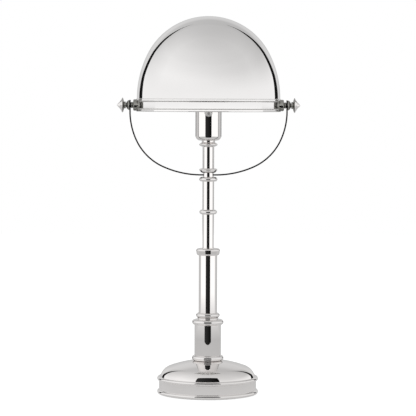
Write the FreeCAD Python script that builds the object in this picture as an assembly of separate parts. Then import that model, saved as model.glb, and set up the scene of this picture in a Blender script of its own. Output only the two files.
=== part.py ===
import FreeCAD, Part
import math
import os

# Dome shade desk lamp, all metal, with a U-shaped yoke that carries a tilting dome shade.
# Millimetres, +Z up. The origin is the centre of the felt face that stands on the table.
# X runs along the tilt axis of the shade, -Y is the front (switch side), +Y the cord side.

V = FreeCAD.Vector

# ---------------------------------------------------------------- fits and common sizes
SLIP = 0.05            # radial room of a spigot in its tube
RUNNING = 0.1          # radial room of a shank or shaft that turns in its hole
FACE_GAP = 0.1         # end play between two faces that turn on each other
PIPE_R = 5.0           # threaded lamp pipe, outside
PIPE_BORE_R = 3.6      # threaded lamp pipe, inside
WIRE_HOLE_R = 4.0      # wire way through the turned collars
SPIGOT_LEN = 8.0       # reach of a collar's spigot into the next tube

# ---------------------------------------------------------------- base
FELT_T = 1.6
FELT_RECESS = 0.8      # part of the felt that lies up inside the rim
FELT_EDGE = 0.4        # room between felt and rim
BASE_BAND_R = 78.7
BASE_BEAD_R = 3.4      # section radius of the two beads round the base
BASE_BEAD_PROUD = 3.05
BASE_BEAD_PITCH = 21.3
BASE_DOME_IN = 1.7     # side of the dome behind the band
BASE_KNUCKLE_R = 22.0  # tight turn between the side and the crown
BASE_KNUCKLE_DROP = 1.5
BASE_CROWN_R = 180.0
BASE_WALL = 1.6
LANDING_R = 24.0       # flat seat for the drum on top of the crown

WEIGHT_EDGE = 0.8      # room between the cast weight and the shell
WEIGHT_DISC_H = 7.6
WEIGHT_SHOULDER_R = 58.0
WEIGHT_CONE_R = 40.0
WEIGHT_CONE_H = 26.0
WEIGHT_BOSS_R = 20.0
POCKET_R = 15.0        # pocket for the lock nut, under the weight
POCKET_H = 11.0
CABLE_SLOT_W = 9.0
CABLE_SLOT_H = 18.0
CABLE_SLOT_LAP = 1.0   # slot reaching past the wall of the pocket

WASHER_R = 12.0
WASHER_T = 1.5
NUT_FLATS = 17.0
NUT_H = 4.5
PIPE_END = 1.5         # pipe showing past its nut
PIPE_GRIP = 12.0       # pipe held in the drum foot

BUSH_HOLE_R = 5.0      # cord hole through the back of the base
BUSH_BORE_R = 3.3
BUSH_FLANGE_R = 7.0
BUSH_FLANGE_T = 1.8
BUSH_TAIL = 2.4        # barrel showing inside the wall

# ---------------------------------------------------------------- drum and column
FOOT_BEAD_H = 8.6
FOOT_BEAD_PROUD = 4.2
DRUM_R = 21.5
DRUM_WALL = 1.5
DRUM_LEN = 49.6
CAP_BEAD_H = 8.6
CAP_BEAD_PROUD = 4.0
CAP_BEAD_TOP_IN = 1.0  # bead narrower at its top than the drum
CAP_NECK_R = 16.6
CAP_NECK_COVE = 1.0    # neck wider at its two ends than in its middle
CAP_NECK_H = 3.3
COLLAR_BEAD_H = 7.2
COLLAR_BEAD_PROUD = 4.3
COLUMN_R = 15.0
COLUMN_WALL = 1.5
COLUMN_LEN = 93.6
CUSHION_H = 11.8       # cushion-shaped cap on the column
CUSHION_PROUD = 4.3
CUSHION_TAPER = 0.7    # narrower at the bottom than at the shoulder
CUSHION_FOOT_ROUND = 3.0
CUSHION_TOP_ROUND = 3.4
CUSHION_TOP_SLOPE = 0.7
CUSHION_TOP_TURN = 85.0

# ---------------------------------------------------------------- stem and hub
STEM_R = 9.2
STEM_WALL = 1.5
LOWER_STEM_LEN = 54.4
STEM_BEAD_H = 7.4
STEM_BEAD_PROUD = 4.9
MIDDLE_STEM_LEN = 45.7
HUB_BEAD_H = 7.2
HUB_BEAD_PROUD = 5.5
HUB_NECK_R = 8.7
HUB_NECK_H = 6.8
HUB_CROWN_H = 6.8      # upper hub ring, wide at its top and drawn in below
HUB_CROWN_PROUD = 5.25
HUB_CROWN_FOOT = 1.5   # foot of that ring wider than the neck
HUB_CROWN_WIDE_H = 4.2 # height of its widest line
HUB_CROWN_TOP_IN = 2.0
HUB_CROWN_LOW_BULGE = 0.56
HUB_CROWN_TOP_BULGE = 0.69
UPPER_STEM_LEN = 35.0
GRUB_R = 2.0
GRUB_SET_IN = 0.5
GRUB_HEX = 2.0

# ---------------------------------------------------------------- yoke
YOKE_T = 2.2
YOKE_DEPTH = 9.6
YOKE_DROP = 112.2      # from the tilt axis down to the middle of the strip
YOKE_FLOOR_R = 150.0   # arc on each side of the hub
YOKE_CORNER_R = 87.0
YOKE_FLOOR_END = 24.0  # slope of the strip in degrees where the corner arc begins
YOKE_CORNER_END = 66.0 # and where the side arc begins
YOKE_END_FLAT = 9.5    # upright straight run up to the tilt axis
EYE_R = 8.3
YOKE_WIRE_HOLE_R = 2.8
SLOT_ROOM = 0.1

# ---------------------------------------------------------------- pivots
BOSS_R = 9.2
BOSS_LEN = 7.5         # from the flat of the band to the outer face
BOSS_ROUND = 1.6
SPACER_LEN = 4.1
SPACER_END_R = 4.1
SPACER_BELLY_R = 5.0
BELL_R = 8.0           # bell washer outside the yoke eye
BELL_RIM_T = 0.9
BELL_LEN = 4.8
BELL_SMALL_R = 4.0
BELL_BULGE = 0.65
SHANK_R = 2.5
SHANK_END = 1.2        # shank showing past its nut
SHANK_CHAMFER = 0.5
PIVOT_NUT_R = 6.5
PIVOT_NUT_T = 4.0
FINIAL_NECK_R = 3.3
FINIAL_NECK_LEN = 0.9
FINIAL_HUB_R = 5.3
FINIAL_HUB_LEN = 2.7
FINIAL_HUB_BULGE = 0.4
FINIAL_RIM_R = 11.9
FINIAL_RIM_T = 1.3
FINIAL_RIM_BULGE = 0.35
FINIAL_BACK_LEN = 1.9
FINIAL_BACK_BULGE = 0.26
FINIAL_SKIRT_LEN = 3.1
FINIAL_SKIRT_HOLLOW = 0.15
FINIAL_SKIRT_R = 6.5   # where the skirt meets the cone
FINIAL_CONE_R = 6.1
FINIAL_CONE_LEN = 5.6
FINIAL_TIP_R = 0.7

# ---------------------------------------------------------------- shade
BAND_R = 113.8         # flat of the band
BAND_WALL = 1.9
BAND_H = 20.6
LIP_H = 4.1
LIP_PROUD = 2.6        # how far both lips stand out from the flat
LIP_ROUND = 0.9
COVE_R = 1.1
UPSTAND_H = 3.0        # ring inside the dome that centres it on the band
DOME_SET_BACK = 0.9    # foot of the dome behind the face of the upper lip
DOME_WALL = 1.0
DOME_SIDE_PAST = 44.5  # centre of the side arc beyond the axis
DOME_TURN = 27.13      # degrees of side arc before the crown arc begins

# ---------------------------------------------------------------- socket, switch and bulb
COLLAR_LENS_H = 7.4    # lens-shaped ring under the cup
COLLAR_LENS_PROUD = 5.4
COLLAR_LENS_EDGE_R = 2.2
COLLAR_LENS_EDGE_TURN = 60.0
CUP_NECK_R = 10.45
CUP_NECK_H = 2.8
CUP_R = 20.9
CUP_WALL = 1.2
CUP_H = 58.0
CUP_CORNER_R = 8.0
CUP_LIP_R = 0.9        # rolled lip at the mouth
SOCKET_BODY_R = 18.2
SOCKET_SEAT_R = 12.0
SOCKET_TAPER_H = 8.0
SOCKET_TOP_INSET = 4.0 # socket body below the mouth of the cup
SHELL_R = 13.9
SHELL_WALL = 0.45
SHELL_LEN = 22.0
CONTACT_R = 4.5
CONTACT_T = 1.0
CONTACT_WELL_H = 4.0
CONTACT_WELL_R = 7.5
PIPE_INTO_SOCKET = 8.0
BULB_TIP_R = 4.6
BULB_TIP_H = 2.2
BULB_INSULATOR_R = 9.0
BULB_INSULATOR_H = 2.6
BULB_CAP_R = 13.1
BULB_CAP_H = 21.0
BULB_CAP_WALL = 0.4
BULB_CAP_CHAMFER = 1.5
BULB_CAP_FLOOR = 2.0
BULB_NECK_IN = 5.0     # neck of the glass inside its cap
BULB_R = 30.0
BULB_BLEND = 35.0      # degrees below the bulb's equator where the neck begins
BULB_WALL = 0.8
KNOB_Z_BELOW_MOUTH = 13.0
KNOB_R = 6.5
KNOB_LEN = 11.0
KNOB_CROWN = 3.6
KNOB_EDGE = 0.5
KNOB_NECK_R = 4.0
KNOB_NECK_LEN = 2.0
KNOB_GROOVES = 20
KNOB_GROOVE_R = 0.5
SWITCH_NUT_R = 6.0
SWITCH_NUT_T = 2.2
SWITCH_COLLAR_R = 3.6
SWITCH_SHAFT_R = 1.8
SWITCH_SHAFT_IN = 3.0  # shaft inside the socket body

# ---------------------------------------------------------------- heights, worked out upwards
rim_z = FELT_T - FELT_RECESS
bead_low_z = rim_z + BASE_BEAD_R
bead_high_z = bead_low_z + BASE_BEAD_PITCH
knuckle_z = bead_high_z - BASE_KNUCKLE_DROP
base_dome_r = BASE_BAND_R - BASE_DOME_IN
knuckle_r = base_dome_r - BASE_KNUCKLE_R
crown_z = knuckle_z - math.sqrt((BASE_CROWN_R - BASE_KNUCKLE_R) ** 2 - knuckle_r ** 2)
landing_z = crown_z + math.sqrt(BASE_CROWN_R ** 2 - LANDING_R ** 2)
drum_z = landing_z + FOOT_BEAD_H
drum_top_z = drum_z + DRUM_LEN
neck_z = drum_top_z + CAP_BEAD_H
collar_z = neck_z + CAP_NECK_H
column_z = collar_z + COLLAR_BEAD_H
column_top_z = column_z + COLUMN_LEN
lower_stem_z = column_top_z + CUSHION_H
stem_bead_z = lower_stem_z + LOWER_STEM_LEN
middle_stem_z = stem_bead_z + STEM_BEAD_H
hub_bead_z = middle_stem_z + MIDDLE_STEM_LEN
hub_neck_z = hub_bead_z + HUB_BEAD_H
hub_crown_z = hub_neck_z + HUB_NECK_H
upper_stem_z = hub_crown_z + HUB_CROWN_H
lens_z = upper_stem_z + UPPER_STEM_LEN
cup_neck_z = lens_z + COLLAR_LENS_H
cup_z = cup_neck_z + CUP_NECK_H
cup_top_z = cup_z + CUP_H
yoke_z = hub_neck_z + HUB_NECK_H / 2
pivot_z = yoke_z + YOKE_DROP
stem_bore = STEM_R - STEM_WALL
lip_r = BAND_R + LIP_PROUD
dome_r = lip_r - DOME_SET_BACK
bulb_neck_r = BULB_CAP_R - BULB_CAP_WALL

# ---------------------------------------------------------------- tilt axis, worked out outwards
boss_x = BAND_R + BOSS_LEN
eye_x = boss_x + SPACER_LEN
bell_x = eye_x + YOKE_T
finial_x = bell_x + BELL_LEN + FACE_GAP
nut_x = BAND_R - BAND_WALL - PIVOT_NUT_T


def arc(through, end):
    """One arc step of a turned outline: a point on the arc, and its end."""
    return ("arc", through, end)


def outline(start, steps):
    """Closed face in the XZ plane from straight steps (r, z) and arc steps."""
    edges = []
    here = V(start[0], 0, start[1])
    first = here
    for step in steps:
        if step[0] == "arc":
            middle = V(step[1][0], 0, step[1][1])
            there = V(step[2][0], 0, step[2][1])
            edges.append(Part.Arc(here, middle, there).toShape())
        else:
            there = V(step[0], 0, step[1])
            edges.append(Part.LineSegment(here, there).toShape())
        here = there
    if here.distanceToPoint(first) > 1e-6:
        edges.append(Part.LineSegment(here, first).toShape())
    return Part.Face(Part.Wire(edges))


def turned(start, *steps):
    """Solid of revolution about Z from an outline of radii and heights."""
    return outline(start, steps).revolve(V(0, 0, 0), V(0, 0, 1), 360)


def on_arc(centre, radius, degrees):
    """Point of a circle in the outline plane."""
    angle = math.radians(degrees)
    return (centre[0] + radius * math.cos(angle), centre[1] + radius * math.sin(angle))


def degrees_of(centre, point):
    return math.degrees(math.atan2(point[1] - centre[1], point[0] - centre[0]))


def sweep(centre, radius, from_degrees, to_degrees):
    """Arc step that runs round a centre between two angles."""
    middle = (from_degrees + to_degrees) / 2
    return arc(on_arc(centre, radius, middle), on_arc(centre, radius, to_degrees))


def bulged(start, end, bulge):
    """Arc step between two points that stands out by a bulge, or lies in where it is negative."""
    dr = end[0] - start[0]
    dz = end[1] - start[1]
    out = bulge / math.hypot(dr, dz)
    middle = ((start[0] + end[0]) / 2 + out * dz, (start[1] + end[1]) / 2 - out * dr)
    return arc(middle, end)


def circles_meet(centre_a, radius_a, centre_b, radius_b):
    """The higher one of the two points where two circles cross."""
    dr = centre_b[0] - centre_a[0]
    dz = centre_b[1] - centre_a[1]
    apart = math.hypot(dr, dz)
    along = (apart ** 2 + radius_a ** 2 - radius_b ** 2) / (2 * apart)
    aside = math.sqrt(radius_a ** 2 - along ** 2)
    ends = []
    for way in (1, -1):
        r = centre_a[0] + (dr * along - way * dz * aside) / apart
        z = centre_a[1] + (dz * along + way * dr * aside) / apart
        ends.append((r, z))
    return max(ends, key=lambda end: end[1])


def cap_radius(rim_r, height):
    """Radius of the sphere whose cap has this rim and height."""
    return (rim_r ** 2 + height ** 2) / (2 * height)


def degrees_of_tangent(point, centre, radius):
    """Where on a circle the line from a lower outside point touches it."""
    apart = math.hypot(point[0] - centre[0], point[1] - centre[1])
    return degrees_of(centre, point) + math.degrees(math.acos(radius / apart))


def tube(outer, inner, low, high):
    return turned((inner, low), (outer, low), (outer, high), (inner, high))


def rod_along_y(radius, y_from, y_to, z):
    return Part.makeCylinder(radius, y_to - y_from, V(0, y_from, z), V(0, 1, 0))


def on_tilt_axis(shape, x, side):
    """Lay a piece turned about Z along the tilt axis, its foot at x, pointing outwards."""
    laid = shape.copy()
    laid.rotate(V(0, 0, 0), V(0, 1, 0), 90 * side)
    laid.translate(V(side * x, 0, pivot_z))
    return laid


def facing_front(shape, y, z):
    """Lay a piece turned about Z along -Y, its foot at y."""
    laid = shape.copy()
    laid.rotate(V(0, 0, 0), V(1, 0, 0), 90)
    laid.translate(V(0, y, z))
    return laid


def hexagon(across_flats, low, height):
    corner = across_flats / math.sqrt(3)
    points = []
    for step in range(7):
        angle = math.radians(60 * step)
        points.append(V(corner * math.cos(angle), corner * math.sin(angle), low))
    return Part.Face(Part.makePolygon(points)).extrude(V(0, 0, height))


def joined(first, *others):
    shape = first
    for other in others:
        shape = shape.fuse(other)
    return shape.removeSplitter()


# ---------------------------------------------------------------- base pieces

def base_bead(z):
    """Centre of a bead's round section."""
    return (BASE_BAND_R + BASE_BEAD_PROUD - BASE_BEAD_R, z)


def crown_height(radius, wall):
    """Height of the crown over a radius, wall millimetres inside its outer face."""
    return crown_z + math.sqrt((BASE_CROWN_R - wall) ** 2 - radius ** 2)


def make_base_shell():
    low = base_bead(bead_low_z)
    high = base_bead(bead_high_z)
    knuckle = (knuckle_r, knuckle_z)
    crown = (0, crown_z)
    inner_r = base_dome_r - BASE_WALL
    hip = math.degrees(math.acos((BASE_BAND_R - low[0]) / BASE_BEAD_R))
    join = circles_meet(high, BASE_BEAD_R, knuckle, BASE_KNUCKLE_R)
    turn = degrees_of(crown, knuckle)
    seat = math.degrees(math.acos(LANDING_R / BASE_CROWN_R))
    inner_seat_z = landing_z - BASE_WALL
    inner_crown = BASE_CROWN_R - BASE_WALL
    inner_seat = math.degrees(math.asin((inner_seat_z - crown_z) / inner_crown))
    shell = turned(
        (inner_r, rim_z),
        (low[0], rim_z),
        sweep(low, BASE_BEAD_R, -90, hip),
        on_arc(high, BASE_BEAD_R, -hip),
        sweep(high, BASE_BEAD_R, -hip, degrees_of(high, join)),
        sweep(knuckle, BASE_KNUCKLE_R, degrees_of(knuckle, join), turn),
        sweep(crown, BASE_CROWN_R, turn, seat),
        (PIPE_R + RUNNING, landing_z),
        (PIPE_R + RUNNING, inner_seat_z),
        on_arc(crown, inner_crown, inner_seat),
        sweep(crown, inner_crown, inner_seat, turn),
        sweep(knuckle, BASE_KNUCKLE_R - BASE_WALL, turn, 0),
    )
    return shell.cut(rod_along_y(BUSH_HOLE_R, 0, 2 * BASE_BAND_R, bush_z))


bush_z = (bead_low_z + bead_high_z) / 2


def make_cord_bushing(shell):
    flange_y = BASE_BAND_R + BUSH_FLANGE_T
    barrel_y = base_dome_r - BASE_WALL - BUSH_TAIL
    round_r = BUSH_FLANGE_T / 2
    flange = turned(
        (BUSH_BORE_R, 0),
        (BUSH_FLANGE_R, 0),
        (BUSH_FLANGE_R, 2 * BUSH_FLANGE_T - round_r),
        arc(on_arc((BUSH_FLANGE_R - round_r, 2 * BUSH_FLANGE_T - round_r), round_r, 45),
            (BUSH_FLANGE_R - round_r, 2 * BUSH_FLANGE_T)),
        (BUSH_BORE_R, 2 * BUSH_FLANGE_T),
    )
    barrel = tube(BUSH_HOLE_R - SLIP, BUSH_BORE_R, 0, flange_y - BUSH_FLANGE_T - barrel_y)
    for shape in (flange, barrel):
        shape.rotate(V(0, 0, 0), V(1, 0, 0), -90)
    flange.translate(V(0, flange_y - 2 * BUSH_FLANGE_T, bush_z))
    barrel.translate(V(0, barrel_y, bush_z))
    return joined(flange.cut(wall_plug(shell)), barrel)


def wall_plug(shell):
    """The base wall with its cord hole closed, to fit the flange against."""
    inner_r = base_dome_r - BASE_WALL
    ring = tube(BASE_BAND_R, inner_r - 2 * BUSH_TAIL, bead_low_z, bead_high_z)
    return shell.fuse(ring)


def make_base_weight():
    outer = base_dome_r - BASE_WALL - WEIGHT_EDGE
    disc_z = FELT_T + WEIGHT_DISC_H
    cone_z = disc_z + WEIGHT_CONE_H
    top_z = landing_z - BASE_WALL
    pocket_z = FELT_T + POCKET_H
    weight = turned(
        (POCKET_R, FELT_T),
        (outer, FELT_T),
        (outer, disc_z),
        (WEIGHT_SHOULDER_R, disc_z),
        (WEIGHT_CONE_R, cone_z),
        (WEIGHT_BOSS_R, cone_z),
        (WEIGHT_BOSS_R, top_z),
        (PIPE_R + RUNNING, top_z),
        (PIPE_R + RUNNING, pocket_z),
        (POCKET_R, pocket_z),
    )
    slot = Part.makeBox(CABLE_SLOT_W, outer, CABLE_SLOT_H, V(-CABLE_SLOT_W / 2, 0, FELT_T))
    channel = slot.cut(Part.makeCylinder(POCKET_R - CABLE_SLOT_LAP, CABLE_SLOT_H, V(0, 0, FELT_T)))
    return weight.cut(channel)


washer_z = FELT_T + POCKET_H - WASHER_T
nut_z = washer_z - NUT_H


def make_lock_nut():
    blank = hexagon(NUT_FLATS, nut_z, NUT_H)
    corner = NUT_FLATS / math.sqrt(3)
    facing = NUT_FLATS / 2
    rounding = turned(
        (0, nut_z),
        (facing, nut_z),
        (corner, nut_z + corner - facing),
        (corner, nut_z + NUT_H),
        (0, nut_z + NUT_H),
    )
    return blank.common(rounding).cut(Part.makeCylinder(PIPE_R, NUT_H, V(0, 0, nut_z)))


# ---------------------------------------------------------------- drum, column and stem

def bead(low, height, root_r, proud):
    """Steps of a round-edged ring from its lower to its upper face."""
    shoulder = root_r + max(0, proud - height / 2)
    return (
        (shoulder, low),
        arc((root_r + proud, low + height / 2), (shoulder, low + height)),
    )


def make_drum_foot():
    spigot = DRUM_R - DRUM_WALL - SLIP
    return turned(
        (PIPE_R, landing_z),
        *bead(landing_z, FOOT_BEAD_H, DRUM_R, FOOT_BEAD_PROUD),
        (spigot, drum_z),
        (spigot, drum_z + SPIGOT_LEN),
        (PIPE_R, drum_z + SPIGOT_LEN),
    )


def make_drum_cap():
    spigot = DRUM_R - DRUM_WALL - SLIP
    return turned(
        (COLUMN_R - COLUMN_WALL, drum_top_z - SPIGOT_LEN),
        (spigot, drum_top_z - SPIGOT_LEN),
        (spigot, drum_top_z),
        (DRUM_R, drum_top_z),
        arc((DRUM_R + CAP_BEAD_PROUD, drum_top_z + CAP_BEAD_H / 2), (DRUM_R - CAP_BEAD_TOP_IN, neck_z)),
        (CAP_NECK_R + CAP_NECK_COVE, neck_z),
        arc((CAP_NECK_R, (neck_z + collar_z) / 2), (CAP_NECK_R + CAP_NECK_COVE, collar_z)),
        (COLUMN_R - COLUMN_WALL, collar_z),
    )


def make_column_collar():
    spigot = COLUMN_R - COLUMN_WALL - SLIP
    return turned(
        (WIRE_HOLE_R, collar_z - SPIGOT_LEN),
        (spigot, collar_z - SPIGOT_LEN),
        (spigot, collar_z),
        *bead(collar_z, COLLAR_BEAD_H, COLUMN_R, COLLAR_BEAD_PROUD),
        (spigot, column_z),
        (spigot, column_z + SPIGOT_LEN),
        (WIRE_HOLE_R, column_z + SPIGOT_LEN),
    )


def make_column_cap():
    lower = COLUMN_R - COLUMN_WALL - SLIP
    upper = stem_bore - SLIP
    belly = COLUMN_R + CUSHION_PROUD
    foot = (belly - CUSHION_TAPER - CUSHION_FOOT_ROUND, column_top_z + CUSHION_FOOT_ROUND)
    shoulder = (belly - CUSHION_TOP_ROUND, lower_stem_z - CUSHION_TOP_SLOPE - CUSHION_TOP_ROUND)
    return turned(
        (WIRE_HOLE_R, column_top_z - SPIGOT_LEN),
        (lower, column_top_z - SPIGOT_LEN),
        (lower, column_top_z),
        (foot[0], column_top_z),
        sweep(foot, CUSHION_FOOT_ROUND, -90, 0),
        on_arc(shoulder, CUSHION_TOP_ROUND, 0),
        sweep(shoulder, CUSHION_TOP_ROUND, 0, CUSHION_TOP_TURN),
        (STEM_R, lower_stem_z),
        (upper, lower_stem_z),
        (upper, lower_stem_z + SPIGOT_LEN),
        (WIRE_HOLE_R, lower_stem_z + SPIGOT_LEN),
    )


def make_stem_ring():
    spigot = stem_bore - SLIP
    return turned(
        (WIRE_HOLE_R, stem_bead_z - SPIGOT_LEN),
        (spigot, stem_bead_z - SPIGOT_LEN),
        (spigot, stem_bead_z),
        *bead(stem_bead_z, STEM_BEAD_H, STEM_R, STEM_BEAD_PROUD),
        (spigot, middle_stem_z),
        (spigot, middle_stem_z + SPIGOT_LEN),
        (WIRE_HOLE_R, middle_stem_z + SPIGOT_LEN),
    )


def make_hub_ring():
    return turned(
        (stem_bore, hub_bead_z),
        *bead(hub_bead_z, HUB_BEAD_H, STEM_R, HUB_BEAD_PROUD),
        (stem_bore, hub_neck_z),
    )


def make_hub_crown():
    foot = (HUB_NECK_R + HUB_CROWN_FOOT, hub_crown_z)
    widest = (STEM_R + HUB_CROWN_PROUD, hub_crown_z + HUB_CROWN_WIDE_H)
    top = (widest[0] - HUB_CROWN_TOP_IN, upper_stem_z)
    return turned(
        (stem_bore, hub_crown_z),
        foot,
        bulged(foot, widest, HUB_CROWN_LOW_BULGE),
        bulged(widest, top, HUB_CROWN_TOP_BULGE),
        (stem_bore, upper_stem_z),
    )


def make_yoke_hub(yoke_way):
    spigot = stem_bore - SLIP
    spool = turned(
        (WIRE_HOLE_R, hub_bead_z - SPIGOT_LEN),
        (spigot, hub_bead_z - SPIGOT_LEN),
        (spigot, hub_neck_z),
        (HUB_NECK_R, hub_neck_z),
        (HUB_NECK_R, hub_crown_z),
        (spigot, hub_crown_z),
        (spigot, upper_stem_z + SPIGOT_LEN),
        (WIRE_HOLE_R, upper_stem_z + SPIGOT_LEN),
    )
    tapped = rod_along_y(GRUB_R, YOKE_DEPTH / 2, HUB_NECK_R, yoke_z)
    return spool.cut(yoke_way).cut(tapped)


def make_hub_grub_screw():
    """Headless screw that bears on the back edge of the yoke strip."""
    tip_y = YOKE_DEPTH / 2
    end_y = HUB_NECK_R - GRUB_SET_IN
    screw = rod_along_y(GRUB_R, tip_y, end_y, yoke_z)
    key = hexagon(GRUB_HEX, 0, GRUB_HEX)
    key.rotate(V(0, 0, 0), V(1, 0, 0), 90)
    key.translate(V(0, end_y, yoke_z))
    return screw.cut(key)


# ---------------------------------------------------------------- yoke

def yoke_side_arc():
    """Half-width of the strip's straight middle, and radius of the arc that ends below the eye."""
    floor_end = math.radians(YOKE_FLOOR_END)
    corner_end = math.radians(YOKE_CORNER_END)
    floor_rise = YOKE_FLOOR_R * (1 - math.cos(floor_end))
    corner_rise = YOKE_CORNER_R * (math.cos(floor_end) - math.cos(corner_end))
    side_rise = YOKE_DROP - YOKE_END_FLAT - floor_rise - corner_rise
    side_r = side_rise / math.cos(corner_end)
    reach = YOKE_FLOOR_R * math.sin(floor_end)
    reach += YOKE_CORNER_R * (math.sin(corner_end) - math.sin(floor_end))
    reach += side_r * (1 - math.sin(corner_end))
    return eye_x + YOKE_T / 2 - reach, side_r


def yoke_edge(offset):
    """Right half of the strip's centre line, moved outwards by an offset."""
    flat, side_r = yoke_side_arc()
    sections = (
        (YOKE_FLOOR_R, 0, YOKE_FLOOR_END),
        (YOKE_CORNER_R, YOKE_FLOOR_END, YOKE_CORNER_END),
        (side_r, YOKE_CORNER_END, 90),
    )
    here = (flat, yoke_z - offset)
    points = [here]
    steps = []
    for radius, begin, end in sections:
        centre = (here[0] - (radius + offset) * math.sin(math.radians(begin)),
                  here[1] + (radius + offset) * math.cos(math.radians(begin)))
        steps.append((centre, radius + offset, begin - 90, end - 90))
        here = on_arc(centre, radius + offset, end - 90)
        points.append(here)
    return points, steps


def half_strip(below, above, depth):
    """Right half of the bent strip as a solid, from its faces below and above the centre line."""
    outer_points, outer_steps = yoke_edge(below)
    inner_points, inner_steps = yoke_edge(-above)
    path = [outer_points[0]]
    for centre, radius, begin, end in outer_steps:
        path.append(sweep(centre, radius, begin, end))
    path.append((outer_points[-1][0], pivot_z))
    path.append((inner_points[-1][0], pivot_z))
    path.append(inner_points[-1])
    for centre, radius, begin, end in reversed(inner_steps):
        path.append(sweep(centre, radius, end, begin))
    path.append((0, yoke_z + above))
    face = outline((0, yoke_z - below), path)
    face.translate(V(0, -depth / 2, 0))
    return face.extrude(V(0, depth, 0))


def strip(below, above, depth):
    right = half_strip(below, above, depth)
    return joined(right, right.mirror(V(0, 0, 0), V(1, 0, 0)))


def make_yoke():
    shape = strip(YOKE_T / 2, YOKE_T / 2, YOKE_DEPTH)
    for side in (1, -1):
        eye = on_tilt_axis(Part.makeCylinder(EYE_R, YOKE_T), eye_x, side)
        shape = shape.fuse(eye)
    shape = shape.removeSplitter()
    for side in (1, -1):
        hole = on_tilt_axis(Part.makeCylinder(SHANK_R + RUNNING, 3 * YOKE_T), eye_x - YOKE_T, side)
        shape = shape.cut(hole)
    wire_hole = Part.makeCylinder(YOKE_WIRE_HOLE_R, 3 * YOKE_T, V(0, 0, yoke_z - 1.5 * YOKE_T))
    return shape.cut(wire_hole)


# ---------------------------------------------------------------- pivots

def make_bell_washer(side):
    """Bell-shaped washer between the yoke eye and the finial."""
    bore = SHANK_R + RUNNING
    rim = (BELL_R, BELL_RIM_T)
    bell = turned(
        (bore, 0),
        (BELL_R, 0),
        rim,
        bulged(rim, (BELL_SMALL_R, BELL_LEN), BELL_BULGE),
        (bore, BELL_LEN),
    )
    return on_tilt_axis(bell, bell_x, side)


def make_spacer(side):
    """Barrel-shaped spacer between the boss and the yoke eye."""
    bore = SHANK_R + RUNNING
    barrel = turned(
        (bore, 0),
        (SPACER_END_R, 0),
        arc((SPACER_BELLY_R, SPACER_LEN / 2), (SPACER_END_R, SPACER_LEN)),
        (bore, SPACER_LEN),
    )
    return on_tilt_axis(barrel, boss_x, side)


def make_pivot_boss(side, band_plug):
    """Round boss, its back cut to hug the flat and both lips of the band."""
    bore = SHANK_R + RUNNING
    length = BOSS_LEN + BAND_WALL
    corner = (BOSS_R - BOSS_ROUND, length - BOSS_ROUND)
    blank = turned(
        (bore, 0),
        (BOSS_R, 0),
        on_arc(corner, BOSS_ROUND, 0),
        sweep(corner, BOSS_ROUND, 0, 90),
        (bore, length),
    )
    return on_tilt_axis(blank, boss_x - length, side).cut(band_plug)


def make_pivot_nut(side, band_plug):
    """Round nut inside the band, its outer face cut to the band's curve."""
    blank = tube(PIVOT_NUT_R, SHANK_R + RUNNING, 0, PIVOT_NUT_T + BAND_WALL / 2)
    return on_tilt_axis(blank, nut_x, side).cut(band_plug)


def make_finial_screw(side):
    """Turned thumb screw: shank, neck, hub, thin flaring rim and pointed cone."""
    hub_u = FINIAL_NECK_LEN
    back_u = hub_u + FINIAL_HUB_LEN
    rim_u = back_u + FINIAL_BACK_LEN
    skirt_u = rim_u + FINIAL_RIM_T
    cone_u = skirt_u + FINIAL_SKIRT_LEN
    tip_u = cone_u + FINIAL_CONE_LEN
    shank_u = nut_x - SHANK_END - finial_x
    hub_low = (FINIAL_HUB_R, hub_u)
    hub_high = (FINIAL_HUB_R, back_u)
    rim_low = (FINIAL_RIM_R - FINIAL_RIM_BULGE, rim_u)
    rim_high = (FINIAL_RIM_R - FINIAL_RIM_BULGE, skirt_u)
    skirt_end = (FINIAL_SKIRT_R, cone_u)
    tip = (0, tip_u - FINIAL_TIP_R)
    tip_touch = degrees_of_tangent((FINIAL_CONE_R, cone_u), tip, FINIAL_TIP_R)
    screw = turned(
        (0, shank_u),
        (SHANK_R - SHANK_CHAMFER, shank_u),
        (SHANK_R, shank_u + SHANK_CHAMFER),
        (SHANK_R, 0),
        (FINIAL_NECK_R, 0),
        (FINIAL_NECK_R, hub_u),
        hub_low,
        bulged(hub_low, hub_high, FINIAL_HUB_BULGE),
        bulged(hub_high, rim_low, FINIAL_BACK_BULGE),
        bulged(rim_low, rim_high, FINIAL_RIM_BULGE),
        bulged(rim_high, skirt_end, -FINIAL_SKIRT_HOLLOW),
        (FINIAL_CONE_R, cone_u),
        on_arc(tip, FINIAL_TIP_R, tip_touch),
        sweep(tip, FINIAL_TIP_R, tip_touch, 90),
    )
    return on_tilt_axis(screw, finial_x, side)


# ---------------------------------------------------------------- shade

band_low_z = pivot_z - BAND_H / 2
band_top_z = pivot_z + BAND_H / 2


def band_outer_steps():
    """Outer side of the band from its lower to its upper edge: lip, cove, flat, cove, lip."""
    soft = lip_r - LIP_ROUND
    low_lip = band_low_z + LIP_H
    high_lip = band_top_z - LIP_H
    foot = BAND_R + COVE_R
    return (
        (soft, band_low_z),
        sweep((soft, band_low_z + LIP_ROUND), LIP_ROUND, -90, 0),
        (lip_r, low_lip - LIP_ROUND),
        sweep((soft, low_lip - LIP_ROUND), LIP_ROUND, 0, 90),
        (foot, low_lip),
        sweep((foot, low_lip + COVE_R), COVE_R, 270, 180),
        (BAND_R, high_lip - COVE_R),
        sweep((foot, high_lip - COVE_R), COVE_R, 180, 90),
        (soft, high_lip),
        sweep((soft, high_lip + LIP_ROUND), LIP_ROUND, -90, 0),
        (lip_r, band_top_z - LIP_ROUND),
        sweep((soft, band_top_z - LIP_ROUND), LIP_ROUND, 0, 90),
    )


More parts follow.
